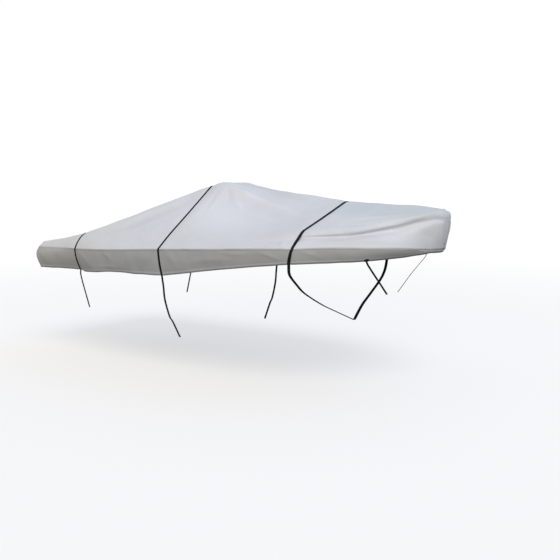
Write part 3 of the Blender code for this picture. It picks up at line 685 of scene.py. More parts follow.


# %% [markdown]
# ## Streaks of painted light and shade
#
# The cloth is painted paler where light catches a ridge or slope beside the folds, and greyer
# as painted shade in the hollows. Each streak has the same form as a fold, but its height is how
# much paler (above 0) or greyer (below 0) the cloth is painted. A few broad streaks even out the
# tones of the deck and the skirts with painted light and shade. Their sum becomes an attribute
# of the mesh.

# %% Streaks of painted light and shade, as plan paths of (x, half width)
DECK_PAINTED_SHADING_STREAKS = (
    # painted highlight on the ray from the peak and painted shade on the strip beyond it, then
    # smaller painted highlights
    (-1, ((0.06, 0.24), (0.46, 0.265), (0.89, 0.35), (1.35, 0.485)), 0.042, 1.1, 0.5, 0.35),
    (-1, ((0.12, -0.06), (0.50, 0.05), (0.90, 0.10), (1.40, 0.17)), 0.075, -0.9, 0.2, 0.40),
    (-1, ((0.16, 0.32), (0.38, 0.41), (0.60, 0.54)), 0.022, 0.5, 0.6, 0.50),
    (-1, ((0.60, 0.50), (0.90, 0.575), (1.20, 0.63)), 0.016, 0.6, 0.7, 0.50),
    (-1, ((0.02, 0.30), (0.03, 0.55), (0.07, 0.80)), 0.030, 0.4, 0.5, 0.40),
    # the sunny side of the deck amidships
    (-1, ((-0.75, 0.70), (-0.10, 0.66), (0.60, 0.70), (1.45, 0.80)), 0.240, 0.80, 0.0, 0.50),
    # the shaded hollow of the bow's side, under the groove
    (-1, ((1.75, 1.00), (2.15, 0.79), (2.24, 0.71), (2.45, 0.50)), 0.070, -0.90, 0.0, 0.55),
    # painted highlight below the tight line over the rail on the foredeck, painted shade above
    # it
    (-1, ((1.70, 0.84), (2.18, 0.62), (2.64, 0.34), (2.80, 0.20)), 0.022, 0.45, 0.4, 0.50),
    (-1, ((1.66, 0.79), (1.96, 0.66), (2.36, 0.41), (2.66, 0.26)), 0.014, -0.50, 0.6, 0.50),
    (-1, ((1.72, 0.58), (2.10, 0.45), (2.50, 0.30)), 0.020, 0.35, 0.5, 0.50),
    # painted highlight and painted shade over the side fold
    (-1, ((1.05, 1.11), (1.19, 1.06), (1.35, 1.04), (1.48, 1.02)), 0.016, 0.5, 0.6, 0.50),
    (-1, ((1.43, 0.98), (1.49, 1.03), (1.55, 1.07)), 0.014, -0.6, 0.6, 0.50),
    # painted shade in the hollow down the aft slope, painted highlight on the pulled hip above
    # it
    (-1, ((-1.50, 0.98), (-1.11, 0.88), (-0.74, 0.725), (-0.25, 0.43)), 0.042, -0.85, 0.2, 0.50),
    (-1, ((-1.50, 0.94), (-1.08, 0.75), (-0.83, 0.63), (-0.25, 0.36)), 0.050, 0.50, 0.2, 0.60),
    # port
    (1, ((0.06, 0.24), (0.50, 0.33), (1.20, 0.53)), 0.042, 0.9, 0.5, 0.35),
    (1, ((-0.70, 0.72), (-0.10, 0.64), (0.90, 0.74)), 0.240, 0.45, 0.0, 0.50),
    (1, ((1.72, 0.80), (2.20, 0.55), (2.70, 0.26)), 0.024, 0.45, 0.4, 0.50),
)
# Painted light and shade on the skirts: paler aft, greyer amidships, and painted shade where the
# bow's skirt turns under.
SKIRT_PAINTED_SHADING_STREAKS = (              # and paths of (x, depth below the side fold)
    (-1, ((-2.30, 0.10), (-2.00, 0.13), (-1.72, 0.12)), 0.110, 0.80, 0.0, 0.50),
    (-1, ((-0.85, 0.16), (-0.40, 0.15), (-0.16, 0.14)), 0.080, -0.70, 0.0, 0.50),
    (-1, ((2.45, 0.05), (2.66, 0.03), (2.80, 0.02)), 0.060, -1.20, 0.0, 0.60),
)
print(len(DECK_PAINTED_SHADING_STREAKS), "faded streaks on the deck,", len(SKIRT_PAINTED_SHADING_STREAKS), "on the skirt")

# %% [markdown]
# ## Ripple and strap dents
#
# Between the folds the cloth still isn't flat. A sum of a few waves with fixed random
# directions gives long, low ripples, stronger towards the free hem. The straps press the
# cloth in, and under them it lies smooth, so the ripple fades out near each strap.

# %% Ripple
def waves(flat, count, longest, shortest, seed):
    """Low waves over flat coordinates, about 1 high, the same on each run."""
    random = np.random.default_rng(seed)
    total = np.zeros(len(flat))
    for _ in range(count):
        length = shortest * (longest / shortest) ** random.random()
        angle = random.random() * math.tau
        phase = random.random() * math.tau
        way = np.array((math.cos(angle), math.sin(angle)))
        total += np.sin(flat @ way * math.tau / length + phase)
    return total / math.sqrt(count)


DENT = 0.004                   # how deep a strap presses into the cloth
DENT_FLAT = 0.018              # half breadth of the flat bottom of that dent
DENT_REACH = 0.085             # where the cloth is free of it again
FORE_STRAP_DRIFT = -0.055      # the fore strap leans aft by this much from side fold to hem,
FORE_SKIRT = 0.166             # which is this far down there
DECK_RIPPLE = (0.0016, (14, 0.60, 0.16, 3))   # height, then the other values of waves()
SKIRT_RIPPLE = (0.0012, (12, 0.4, 0.12, 5))
HEM_RIPPLE = (0.0045, (9, 0.75, 0.22, 8))     # full from the next depth down,
HEM_RIPPLE_DEPTH = 0.30
HEM_RIPPLE_STRETCH = (1.0, 0.35)              # and longer down the skirt than along it
OVER_RAIL = 6                  # the bow's folds may run this many steps over the rail
BAND_RISE = 0.0009             # how far the seam band and the hem's turning stand out
SIDE_OF = np.where(BASE[:, 1] < 0.0, -1, 1)
ON_SKIRT = BELOW_FOLD > 1e-6
HUNG = np.column_stack((BASE[:, 0], BELOW_FOLD))


def strap_hold():
    """1 under a strap, falling to 0 beside it."""
    hold = np.zeros(len(BASE))
    down = np.clip(BELOW_FOLD / FORE_SKIRT, 0.0, 1.0)
    for name, station in STRAP_STATIONS.items():
        drift = FORE_STRAP_DRIFT * down if name == "strap_fore" else 0.0
        away = np.abs(BASE[:, 0] - station - drift)
        share = np.clip((DENT_REACH - away) / (DENT_REACH - DENT_FLAT), 0.0, 1.0)
        hold = np.maximum(hold, share * share * (3.0 - 2.0 * share))
    return hold


def displaced():
    """The outer face with its folds, ripple, dents and turned edges."""
    from_stem = np.abs(SKIRT_UV[:, 0] - SKIRT_UV[RING_IDS[LAST_ROW, FOLD], 0])
    beside = np.column_stack((from_stem, -BELOW_FOLD))
    on_side = np.zeros(len(BASE), bool)
    on_side[RING_IDS[COLUMNS:2 * LAST_ROW - COLUMNS, RAIL - OVER_RAIL:FOLD + 1]] = True
    lift = fold_lift(BASE[:, 0:2], DECK_FOLDS, SIDE_OF, ~ON_SKIRT, signed=True)
    lift += fold_lift(HUNG, SKIRT_FOLDS, SIDE_OF, ON_SKIRT)
    lift += fold_lift(beside, BOW_FOLDS, SIDE_OF, on_side)
    deck_height, deck_waves = DECK_RIPPLE
    skirt_height, skirt_waves = SKIRT_RIPPLE
    hem_height, hem_waves = HEM_RIPPLE
    ripple = deck_height * waves(BASE[:, 0:2], *deck_waves)
    hang = np.clip(BELOW_FOLD / HEM_RIPPLE_DEPTH, 0.0, 1.0)
    long_ripple = waves(SKIRT_UV * np.array(HEM_RIPPLE_STRETCH), *hem_waves)
    ripple = np.where(ON_SKIRT, skirt_height * waves(SKIRT_UV, *skirt_waves)
                      + hem_height * hang * long_ripple, ripple)
    hold = strap_hold()
    lift = (lift + ripple) * (1.0 - hold) - DENT * hold
    band = np.zeros(len(BASE))
    for j in range(FOLD, FOLD + 2):
        band[RING_IDS[:, j]] = 1.0
    for j in range(HEM - 1, HEM + 1):
        band[RING_IDS[:, j]] = 1.0
    lift += BAND_RISE * band
    return BASE + BASE_NORMALS * lift[:, None]


COVER = displaced()
# Painted light and shade of the streaks, summed at each point.
PAINTED_SHADING = fold_lift(BASE[:, 0:2], DECK_PAINTED_SHADING_STREAKS, SIDE_OF, ~ON_SKIRT, signed=True)
PAINTED_SHADING += fold_lift(HUNG, SKIRT_PAINTED_SHADING_STREAKS, SIDE_OF, ON_SKIRT)
COVER_NORMALS = normals_of(COVER)
print("largest fold", round(float(np.abs(COVER - BASE).max()) * 1000.0, 1), "mm")

# %% [markdown]
# ## Cloth finish
#
# Solution-dyed polyester is a matt plain weave with a faint sheen. Seen close it has crossed
# yarns, seen from afar only soft blotches where it has faded or caught dust. The weave reads
# the UV map in metres, so one scale serves every panel, and the blotches read Object
# coordinates, so they run across the seams.

# %% Node helpers
def new_material(name):
    """A node material, its tree and its Principled shader."""
    made = bpy.data.materials.new(name)
    made.use_nodes = True
    return made, made.node_tree, made.node_tree.nodes["Principled BSDF"]


def add_node(tree, kind, **values):
    """A node whose inputs and properties are set by name."""
    node = tree.nodes.new(kind)
    for name, value in values.items():
        socket = node.inputs.get(name.replace("_", " "))
        if socket is None:
            setattr(node, name, value)
        else:
            socket.default_value = value
    return node


def math_node(tree, operation, a, b):
    """A math node on two values, each a socket or a number."""
    node = tree.nodes.new("ShaderNodeMath")
    node.operation = operation
    for socket, value in zip(node.inputs, (a, b)):
        if isinstance(value, (int, float)):
            socket.default_value = value
        else:
            tree.links.new(value, socket)
    return node.outputs[0]


def mix_colour(tree, factor, a, b, blend="MIX"):
    """A colour mix; a and b are sockets or colours."""
    node = tree.nodes.new("ShaderNodeMix")
    node.data_type = "RGBA"
    node.blend_type = blend
    for socket, value in ((node.inputs[0], factor), (node.inputs[6], a), (node.inputs[7], b)):
        if isinstance(value, (int, float, tuple)):
            socket.default_value = value
        else:
            tree.links.new(value, socket)
    return node.outputs[2]


def ramp(tree, value, stops):
    """Colour ramp on a value, with (place, grey) stops."""
    node = tree.nodes.new("ShaderNodeValToRGB")
    node.color_ramp.elements[0].position = stops[0][0]
    node.color_ramp.elements[0].color = (*[stops[0][1]] * 3, 1.0)
    node.color_ramp.elements[1].position = stops[1][0]
    node.color_ramp.elements[1].color = (*[stops[1][1]] * 3, 1.0)
    tree.links.new(value, node.inputs[0])
    return node.outputs[0]


# %% Cloth material
YARN_PITCH = 0.0016            # a pair of crossed yarns in the coarse weave
WAVE_PERIOD = 0.3142           # length of one band of the wave texture at scale 1
PAINTED_SHADING_CONTRAST = 0.10          # a full streak is painted this much paler, or greyer below 0, than the cloth round it
AFT_PAINTED_WARM_LIGHT = (0.985, 0.970, 0.920, 1.0)     # painted warm light on the aft end
FOREDECK_PAINTED_SHADE = (0.880, 0.925, 0.940, 1.0)   # painted shade, cool grey, on the foredeck beside its ridge
NOSE_PAINTED_WARM_LIGHT = (1.000, 0.985, 0.955, 1.0)    # painted warm light again towards the nose
AFT_X = (-0.7, -1.7)           # x where the aft's painted warm light begins and is full,
RIDGE_X = (1.1, 2.0)           # the same for the painted shade beside the ridge,
RIDGE_HALF = (0.62, 0.30)      # and its half width
RIDGE_Z = (-0.40, -0.32)       # and height,
NOSE_X = (2.0, 2.5)            # and for the painted warm light at the nose
ROUGHNESS = (0.62, 0.16)       # roughness of the cloth, and how much more it gets in specks


def by_place(tree, value, low, high):
    """0 where a coordinate is at low and 1 where it is at high, with a soft slope between."""
    node = tree.nodes.new("ShaderNodeMapRange")
    node.interpolation_type = "SMOOTHSTEP"
    node.inputs["From Min"].default_value = low
    node.inputs["From Max"].default_value = high
    tree.links.new(value, node.inputs["Value"])
    return node.outputs[0]


def cloth_material(name, base, dusty, dust):
    """Coated polyester: base colour, dust colour and how much of it shows."""
    made, tree, shader = new_material(name)
    coords = tree.nodes.new("ShaderNodeTexCoord")
    uv = add_node(tree, "ShaderNodeUVMap", uv_map="cloth")
    yarns = []
    for direction in ("X", "Y"):
        wave = add_node(tree, "ShaderNodeTexWave", Scale=WAVE_PERIOD / YARN_PITCH)
        wave.bands_direction = direction
        tree.links.new(uv.outputs[0], wave.inputs["Vector"])
        yarns.append(wave.outputs["Fac"])
    weave = math_node(tree, "MULTIPLY", yarns[0], yarns[1])
    blotch = add_node(tree, "ShaderNodeTexNoise", Scale=1.7, Detail=4.0, Roughness=0.55)
    fine = add_node(tree, "ShaderNodeTexNoise", Scale=14.0, Detail=5.0, Roughness=0.6)
    for noise in (blotch, fine):
        tree.links.new(coords.outputs["Object"], noise.inputs["Vector"])
    # Random blotches here are the cloth's own fading and dust.
    fading_and_painted_shade = ramp(tree, blotch.outputs["Fac"], ((0.34, 0.0), (0.68, 1.0)))
    dusted = math_node(tree, "MULTIPLY", fading_and_painted_shade, dust)
    tone = mix_colour(tree, dusted, (*base, 1.0), (*dusty, 1.0))
    speck = ramp(tree, fine.outputs["Fac"], ((0.3, 0.975), (0.7, 1.0)))
    tone = mix_colour(tree, 1.0, tone, speck, "MULTIPLY")
    place = tree.nodes.new("ShaderNodeSeparateXYZ")
    tree.links.new(coords.outputs["Object"], place.inputs[0])
    # Painted warm light on the aft end of the deck.
    aft = by_place(tree, place.outputs["X"], *AFT_X)
    tone = mix_colour(tree, aft, tone, AFT_PAINTED_WARM_LIGHT, "MULTIPLY")
    off_middle = math_node(tree, "ABSOLUTE", place.outputs["Y"], 0.0)
    # Painted light and shade from the streaks: paler on lit ridges and slopes, greyer in shaded
    # hollows.
    streaks = add_node(tree, "ShaderNodeAttribute", attribute_name="fading_and_painted_shade")
    paler = math_node(tree, "ADD", math_node(tree, "MULTIPLY", streaks.outputs["Fac"],
                                             PAINTED_SHADING_CONTRAST), 1.0)
    tone = mix_colour(tree, 1.0, tone, paler, "MULTIPLY")
    # Painted shade, cool grey, on the upper foredeck beside the ridge.
    ridge = math_node(tree, "MULTIPLY", by_place(tree, place.outputs["X"], *RIDGE_X),
                      by_place(tree, off_middle, *RIDGE_HALF))
    ridge = math_node(tree, "MULTIPLY", ridge, by_place(tree, place.outputs["Z"], *RIDGE_Z))
    tone = mix_colour(tree, ridge, tone, FOREDECK_PAINTED_SHADE, "MULTIPLY")
    # Painted warm light towards the nose, inside the same mask.
    nose = math_node(tree, "MULTIPLY", ridge, by_place(tree, place.outputs["X"], *NOSE_X))
    tone = mix_colour(tree, nose, tone, NOSE_PAINTED_WARM_LIGHT, "MULTIPLY")
    tree.links.new(tone, shader.inputs["Base Color"])
    rough = math_node(tree, "MULTIPLY", fine.outputs["Fac"], ROUGHNESS[1])
    tree.links.new(math_node(tree, "ADD", rough, ROUGHNESS[0]), shader.inputs["Roughness"])
    shader.inputs["Sheen Weight"].default_value = 0.12
    shader.inputs["Sheen Roughness"].default_value = 0.5
    shader.inputs["Specular IOR Level"].default_value = 0.35
    crumple = add_node(tree, "ShaderNodeTexNoise", Scale=26.0, Detail=3.0, Roughness=0.5)
    tree.links.new(coords.outputs["Object"], crumple.inputs["Vector"])
    soft = add_node(tree, "ShaderNodeBump", Strength=0.15, Distance=0.0035)
    tree.links.new(crumple.outputs["Fac"], soft.inputs["Height"])
    close = add_node(tree, "ShaderNodeBump", Strength=0.25, Distance=0.0003)
    tree.links.new(weave, close.inputs["Height"])
    tree.links.new(soft.outputs["Normal"], close.inputs["Normal"])
    tree.links.new(close.outputs["Normal"], shader.inputs["Normal"])
    return made


# The skirt cloth has a darker base than the deck cloth: painted shade for the skirts' steep,
# downward-facing sides.
DECK_CLOTH = cloth_material("deck cloth", (0.60, 0.62, 0.655), (0.55, 0.56, 0.58), 0.5)
SKIRT_CLOTH_PAINTED_SHADE = cloth_material("skirt cloth", (0.430, 0.437, 0.434), (0.385, 0.385, 0.37), 0.6)
print("cloth finishes:", DECK_CLOTH.name, "and", SKIRT_CLOTH_PAINTED_SHADE.name)

# %% [markdown]
# ## Cutting the panels
#
# Each panel takes its own quads, set back a fraction of a millimetre from the seams, and a
# Solidify modifier gives the cloth its thickness inwards.

# %% Make the panels
SEAM_SETBACK = 0.00021         # each panel stops this far from the seam's middle


def border_loops(quads):
    """Edges of a panel that only one quad uses, as (from, to, quad number)."""
    edges = {}
    for number, quad in enumerate(quads.tolist()):
        for a, b in zip(quad, quad[1:] + quad[:1]):
            if (b, a) in edges:
                del edges[(b, a)]
            else:
                edges[(a, b)] = number
    return edges


def set_back(points, quads, seam_points):
    """Points of one panel, moved in from its seams."""
    moved = points.copy()
    inward = {}
    for (a, b), number in border_loops(quads).items():
        if a in seam_points and b in seam_points:
            along = points[b] - points[a]
            along /= np.linalg.norm(along)
            way = points[quads[number]].mean(axis=0) - points[a]
            way -= along * (way @ along)
            way /= np.linalg.norm(way)
            inward[a] = inward.get(a, 0.0) + way
            inward[b] = inward.get(b, 0.0) + way
    for index, way in inward.items():
        moved[index] += way / np.linalg.norm(way) * SEAM_SETBACK
    return moved


def mesh_object(name, points, faces, uv, finish, fading_and_painted_shade=None):
    """A smooth mesh object with one material, a UV for each point and its painted light and
    shade.
    """
    mesh = bpy.data.meshes.new(name)
    mesh.from_pydata(points.tolist(), [], [list(map(int, face)) for face in faces])
    if uv is not None:
        layer = mesh.uv_layers.new(name="cloth")
        corners = np.zeros(len(mesh.loops), int)
        mesh.loops.foreach_get("vertex_index", corners)
        layer.data.foreach_set("uv", uv[corners].ravel())
    if fading_and_painted_shade is not None:
        mesh.attributes.new("fading_and_painted_shade", "FLOAT", "POINT").data.foreach_set("value", fading_and_painted_shade)
    mesh.shade_smooth()
    mesh.materials.append(finish)
    made = bpy.data.objects.new(name, mesh)
    bpy.context.scene.collection.objects.link(made)
    return made


def shared_points():
    """Points that two panels use."""
    users = np.zeros(len(COVER), int)
    for name in PANELS:
        users[np.unique(QUADS[name])] += 1
    return set(np.nonzero(users > 1)[0].tolist())


SEAM_POINTS = shared_points()
for name in PANELS:
    quads = QUADS[name]
    moved = set_back(COVER, quads, SEAM_POINTS)
    used, faces = np.unique(quads, return_inverse=True)
    faces = faces.reshape(quads.shape)
    deck = name.startswith("deck")
    uv = (DECK_UV if deck else SKIRT_UV)[used]
    panel = mesh_object("cloth_" + name, moved[used], faces, uv,
                        DECK_CLOTH if deck else SKIRT_CLOTH_PAINTED_SHADE, PAINTED_SHADING[used])
    thick = panel.modifiers.new("thickness", "SOLIDIFY")
    thick.thickness = CLOTH
    thick.offset = -1.0
    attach(panel, "root")
    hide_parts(name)
    print(panel.name, len(faces), "quads")

# %% [markdown]
# ## Felled seam on the ridge
#
# The two deck panels meet on the ridge in a felled seam: both edges are turned under each
# other, which leaves a flat raised band. It is made as a thin ribbon of the same cloth, laid
# along the middle line.

# %% A ribbon swept along a line
def swept(name, line, sides, outs, profile, size, finish, closed=False):
    """Ribbon with a profile of (across, up) shares of size, and unit cross directions."""
    width, height = size
    run = np.concatenate(([0.0], np.cumsum(np.linalg.norm(np.diff(line, axis=0), axis=1))))
    points = []
    uv = []
    for spot, side, out, length in zip(line, sides, outs, run):
        for across, up in profile:
            points.append(spot + side * across * width + out * up * height)
            uv.append((length, across * width))
    count = len(line)
    ring = len(profile)
    faces = []
    for i in range(count if closed else count - 1):
        a = i * ring
        b = (i + 1) % count * ring
        for j in range(ring):
            k = (j + 1) % ring
            faces.append((a + j, a + k, b + k, b + j))
    if not closed:
        faces.append(tuple(range(ring - 1, -1, -1)))
        faces.append(tuple((count - 1) * ring + j for j in range(ring)))
    made = mesh_object(name, np.array(points), faces, np.array(uv), finish)
    shell = bmesh.new()
    shell.from_mesh(made.data)
    bmesh.ops.recalc_face_normals(shell, faces=shell.faces)
    shell.to_mesh(made.data)
    shell.free()
    return made


# %% Ridge seam
RIDGE_SEAM = (0.018, 0.0005)   # width and height of the felled band
RIDGE_EDGES = (-0.40, -0.50)   # its section ends this far down inside the cloth, in heights


def middle_line(values):
    """Values along the middle line of the cover, from the stern fold to the stem fold."""
    stern = RING_IDS[0, 1:FOLD - 1][::-1]
    strip = STRIP_IDS[COLUMNS:, COLUMNS]
    stem = RING_IDS[LAST_ROW, 1:FOLD - 1]
    return values[np.concatenate((stern, strip, stem))]


def ridge_sides(outs):
    """Directions to port along the cloth, from its outward directions on the middle line."""
    side = np.tile((0.0, 1.0, 0.0), (len(outs), 1))
    side -= outs * np.sum(side * outs, axis=1)[:, None]
    return side


def ridge_band():
    """The felled band as a closed ribbon, bent to the cloth on both sides of the ridge."""
    outs = middle_line(COVER_NORMALS)
    side = ridge_sides(outs)
    side /= np.linalg.norm(side, axis=1)[:, None]
    section = ((-0.50, RIDGE_EDGES[0]), (-0.47, 0.8), (-0.30, 1.0), (0.0, 1.0), (0.30, 1.0),
               (0.47, 0.8), (0.50, RIDGE_EDGES[0]), (0.0, RIDGE_EDGES[1]))
    return swept("seam_ridge", middle_line(COVER), side, outs, section, RIDGE_SEAM,
                 DECK_CLOTH)


seam_ridge = ridge_band()
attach(seam_ridge, "root")
print(seam_ridge.name, len(seam_ridge.data.polygons), "faces")

# %% [markdown]
# ## Topstitching
#
# Every seam is sewn with two rows of thread and the hem with one. A stitch is a short hump
# of thread, repeated at an even pitch along a line that follows the displaced cloth. That
# is what Geometry Nodes do well: the lines carry the cloth's direction as an attribute, and
# the tree sets a stitch on each step of them.

# %% The stitch tree
STITCH_INPUTS = (              # name, socket type
    ("Pitch", "NodeSocketFloat"), ("Length", "NodeSocketFloat"), ("Width", "NodeSocketFloat"),
    ("Height", "NodeSocketFloat"), ("Uneven", "NodeSocketFloat"), ("Seed", "NodeSocketInt"),
    ("Thread", "NodeSocketMaterial"),
)


def stitch_tree():
    """Node tree that turns edge chains with an "out" attribute into rows of stitches."""
    tree = bpy.data.node_groups.new("stitches", "GeometryNodeTree")
    tree.interface.new_socket("Geometry", in_out="INPUT", socket_type="NodeSocketGeometry")
    for name, kind in STITCH_INPUTS:
        tree.interface.new_socket(name, in_out="INPUT", socket_type=kind)
    tree.interface.new_socket("Geometry", in_out="OUTPUT", socket_type="NodeSocketGeometry")
    entry = tree.nodes.new("NodeGroupInput").outputs
    link = tree.links.new

    chain = tree.nodes.new("GeometryNodeMeshToCurve")
    link(entry["Geometry"], chain.inputs["Mesh"])
    steps = tree.nodes.new("GeometryNodeResampleCurve")
    steps.mode = "LENGTH"
    link(chain.outputs["Curve"], steps.inputs["Curve"])
    link(entry["Pitch"], steps.inputs["Length"])

    out = tree.nodes.new("GeometryNodeInputNamedAttribute")
    out.data_type = "FLOAT_VECTOR"
    out.inputs["Name"].default_value = "out"
    upright = tree.nodes.new("FunctionNodeAlignRotationToVector")
    upright.axis = "Z"
    link(out.outputs["Attribute"], upright.inputs["Vector"])
    along = tree.nodes.new("FunctionNodeAlignRotationToVector")
    along.axis = "X"
    along.pivot_axis = "Z"
    link(upright.outputs["Rotation"], along.inputs["Rotation"])
    link(tree.nodes.new("GeometryNodeInputTangent").outputs[0], along.inputs["Vector"])

    hump = tree.nodes.new("GeometryNodeMeshIcoSphere")
    hump.inputs["Radius"].default_value = 0.5
    hump.inputs["Subdivisions"].default_value = 1
    size = tree.nodes.new("ShaderNodeCombineXYZ")
    for name, axis in (("Length", "X"), ("Width", "Y"), ("Height", "Z")):
        link(entry[name], size.inputs[axis])
    shaped = tree.nodes.new("GeometryNodeTransform")
    link(hump.outputs["Mesh"], shaped.inputs["Geometry"])
    link(size.outputs[0], shaped.inputs["Scale"])
    smooth_hump = tree.nodes.new("GeometryNodeSetShadeSmooth")
    link(shaped.outputs[0], smooth_hump.inputs["Geometry"])

    least = tree.nodes.new("ShaderNodeMath")
    least.operation = "SUBTRACT"
    least.inputs[0].default_value = 1.0
    link(entry["Uneven"], least.inputs[1])
    pull = tree.nodes.new("FunctionNodeRandomValue")
    pull.data_type = "FLOAT"
    link(least.outputs[0], pull.inputs[2])
    pull.inputs[3].default_value = 1.0
    link(entry["Seed"], pull.inputs["Seed"])

    sewn = tree.nodes.new("GeometryNodeInstanceOnPoints")
    link(steps.outputs["Curve"], sewn.inputs["Points"])
    link(smooth_hump.outputs[0], sewn.inputs["Instance"])
    link(along.outputs["Rotation"], sewn.inputs["Rotation"])
    link(pull.outputs[1], sewn.inputs["Scale"])
    solid = tree.nodes.new("GeometryNodeRealizeInstances")
    link(sewn.outputs[0], solid.inputs[0])
    finish = tree.nodes.new("GeometryNodeSetMaterial")
    link(solid.outputs[0], finish.inputs["Geometry"])
    link(entry["Thread"], finish.inputs["Material"])
    link(finish.outputs[0], tree.nodes.new("NodeGroupOutput").inputs[0])
    return tree


STITCHES = stitch_tree()
print("stitch tree:", len(STITCHES.nodes), "nodes")


# %% Sewing a set of lines
def thread_material(name, colour, pale):
    """Spun thread: fine twist along the cloth's own coordinates and a soft sheen."""
    made, tree, shader = new_material(name)
    coords = tree.nodes.new("ShaderNodeTexCoord")
    strands = add_node(tree, "ShaderNodeTexNoise", Scale=900.0, Detail=2.0, Roughness=0.5)
    tree.links.new(coords.outputs["Object"], strands.inputs["Vector"])
    tone = mix_colour(tree, strands.outputs["Fac"], (*colour, 1.0), (*pale, 1.0))
    tree.links.new(tone, shader.inputs["Base Color"])
    bump = add_node(tree, "ShaderNodeBump", Strength=0.4, Distance=0.0002)
    tree.links.new(strands.outputs["Fac"], bump.inputs["Height"])
    tree.links.new(bump.outputs["Normal"], shader.inputs["Normal"])
    shader.inputs["Roughness"].default_value = 0.6
    shader.inputs["Sheen Weight"].default_value = 0.2
    return made


GREY_THREAD = thread_material("grey thread", (0.34, 0.35, 0.37), (0.46, 0.47, 0.49))
BLACK_THREAD = thread_material("black thread", (0.020, 0.020, 0.022), (0.045, 0.045, 0.050))


def sew(name, lines, slot, **values):
    """One mesh of stitches along lines, each a pair of points and outward directions."""
    points = np.vstack([line for line, _outs in lines])
    outs = np.vstack([line_outs for _line, line_outs in lines])
    edges = []
    start = 0
    for line, _outs in lines:
        edges += [(start + i, start + i + 1) for i in range(len(line) - 1)]
        start += len(line)
    mesh = bpy.data.meshes.new(name + "_lines")
    mesh.from_pydata(points.tolist(), edges, [])
    layer = mesh.attributes.new("out", "FLOAT_VECTOR", "POINT")
    layer.data.foreach_set("vector", outs.ravel())
    guide = bpy.data.objects.new(name + "_lines", mesh)
    bpy.context.scene.collection.objects.link(guide)
    nodes = guide.modifiers.new("stitches", "NODES")
    nodes.node_group = STITCHES
    for socket in STITCHES.interface.items_tree:
        if socket.in_out == "INPUT" and socket.name in values:
            nodes[socket.identifier] = values[socket.name]
    grown = guide.evaluated_get(bpy.context.evaluated_depsgraph_get())
    made = bpy.data.objects.new(name, bpy.data.meshes.new_from_object(grown))
    bpy.data.objects.remove(guide)
    bpy.context.scene.collection.objects.link(made)
    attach(made, "root")
    print(name, len(made.data.polygons), "faces")
    return made


# %% Stitch lines on the cloth
STITCH = {"Pitch": 0.0046, "Length": 0.0040, "Width": 0.0011, "Height": 0.0009,
          "Uneven": 0.15, "Seed": 11}
SEAM_ROWS = (0.25, 0.80)       # rows of the seam below the side fold, as shares of its band
HEM_ROW = 0.14                 # the hem's row, as a share of its turning
RIDGE_ROW = 0.0065             # rows beside the ridge line
HELD_SKIP = 0.9                # no stitches show where a strap holds the ridge down


def round_line(j, share):
    """Closed line round the cover, between steps j and j + 1."""
    spots = COVER[RING_IDS[:, j]] * (1.0 - share) + COVER[RING_IDS[:, j + 1]] * share
    outs = COVER_NORMALS[RING_IDS[:, j + 1]]
    return np.vstack((spots, spots[:1])), np.vstack((outs, outs[:1]))


def ridge_lines(offset):
    """Lines beside the ridge, broken where the straps cross."""
    line = middle_line(COVER)
    outs = middle_line(COVER_NORMALS)
    held = middle_line(strap_hold()) > HELD_SKIP
    line = line + ridge_sides(outs) * offset + outs * RIDGE_SEAM[1]
    breaks = np.nonzero(np.diff(held.astype(int)))[0] + 1
    parts = zip(np.split(line, breaks), np.split(outs, breaks), np.split(held, breaks))
    return [(part, part_outs) for part, part_outs, part_held in parts if not part_held[0]]


sew("stitches_ridge", ridge_lines(RIDGE_ROW) + ridge_lines(-RIDGE_ROW), "cover_cloth",
    Thread=GREY_THREAD, **STITCH)
sew("stitches_fold", [round_line(FOLD, share) for share in SEAM_ROWS], "cover_cloth",
    Thread=GREY_THREAD, **STITCH)
sew("stitches_hem", [round_line(HEM - 1, HEM_ROW)], "cover_cloth",
    Thread=GREY_THREAD, **STITCH)

# %% [markdown]
# ## Webbing
#
# The straps are flat polypropylene webbing. A strap is one ribbon: its path runs across the
# cloth in the plane of its station and then on down past the hem to where it is made fast.
# Rounded edges and a slight crown keep it from looking like tape.

# %% Webbing finish
CHEVRON_HALF = 0.0042          # half the width of one chevron
YARN_STEP = 0.0022             # from yarn to yarn along the webbing
RIB_STEP = 0.0021              # and across it
WEBBING_BLACK = (0.006, 0.006, 0.007, 1.0)
WEBBING_WORN = (0.014, 0.0145, 0.017, 1.0)


def webbing_material():
    """Black webbing: a chevron of yarns along a UV map in metres."""
    made, tree, shader = new_material("black webbing")
    uv = add_node(tree, "ShaderNodeUVMap", uv_map="cloth")
    parts = tree.nodes.new("ShaderNodeSeparateXYZ")
    tree.links.new(uv.outputs[0], parts.inputs[0])
    across = math_node(tree, "PINGPONG", parts.outputs[1], CHEVRON_HALF)
    slanted = math_node(tree, "ADD", parts.outputs[0], across)
    turned = math_node(tree, "MULTIPLY", slanted, math.tau / YARN_STEP)
    yarn = math_node(tree, "SINE", turned, 0.0)
    turned = math_node(tree, "MULTIPLY", across, math.tau / RIB_STEP)
    rib = math_node(tree, "SINE", turned, 0.0)
    height = math_node(tree, "ADD", math_node(tree, "MULTIPLY", rib, 0.5), yarn)
    bump = add_node(tree, "ShaderNodeBump", Strength=0.5, Distance=0.0003)
    tree.links.new(height, bump.inputs["Height"])
    tree.links.new(bump.outputs["Normal"], shader.inputs["Normal"])
    coords = tree.nodes.new("ShaderNodeTexCoord")
    worn = add_node(tree, "ShaderNodeTexNoise", Scale=9.0, Detail=4.0, Roughness=0.6)
    tree.links.new(coords.outputs["Object"], worn.inputs["Vector"])
    tone = mix_colour(tree, worn.outputs["Fac"], WEBBING_BLACK, WEBBING_WORN)
    tree.links.new(tone, shader.inputs["Base Color"])
    shader.inputs["Roughness"].default_value = 0.75
    shader.inputs["Specular IOR Level"].default_value = 0.12
    return made


WEBBING = webbing_material()

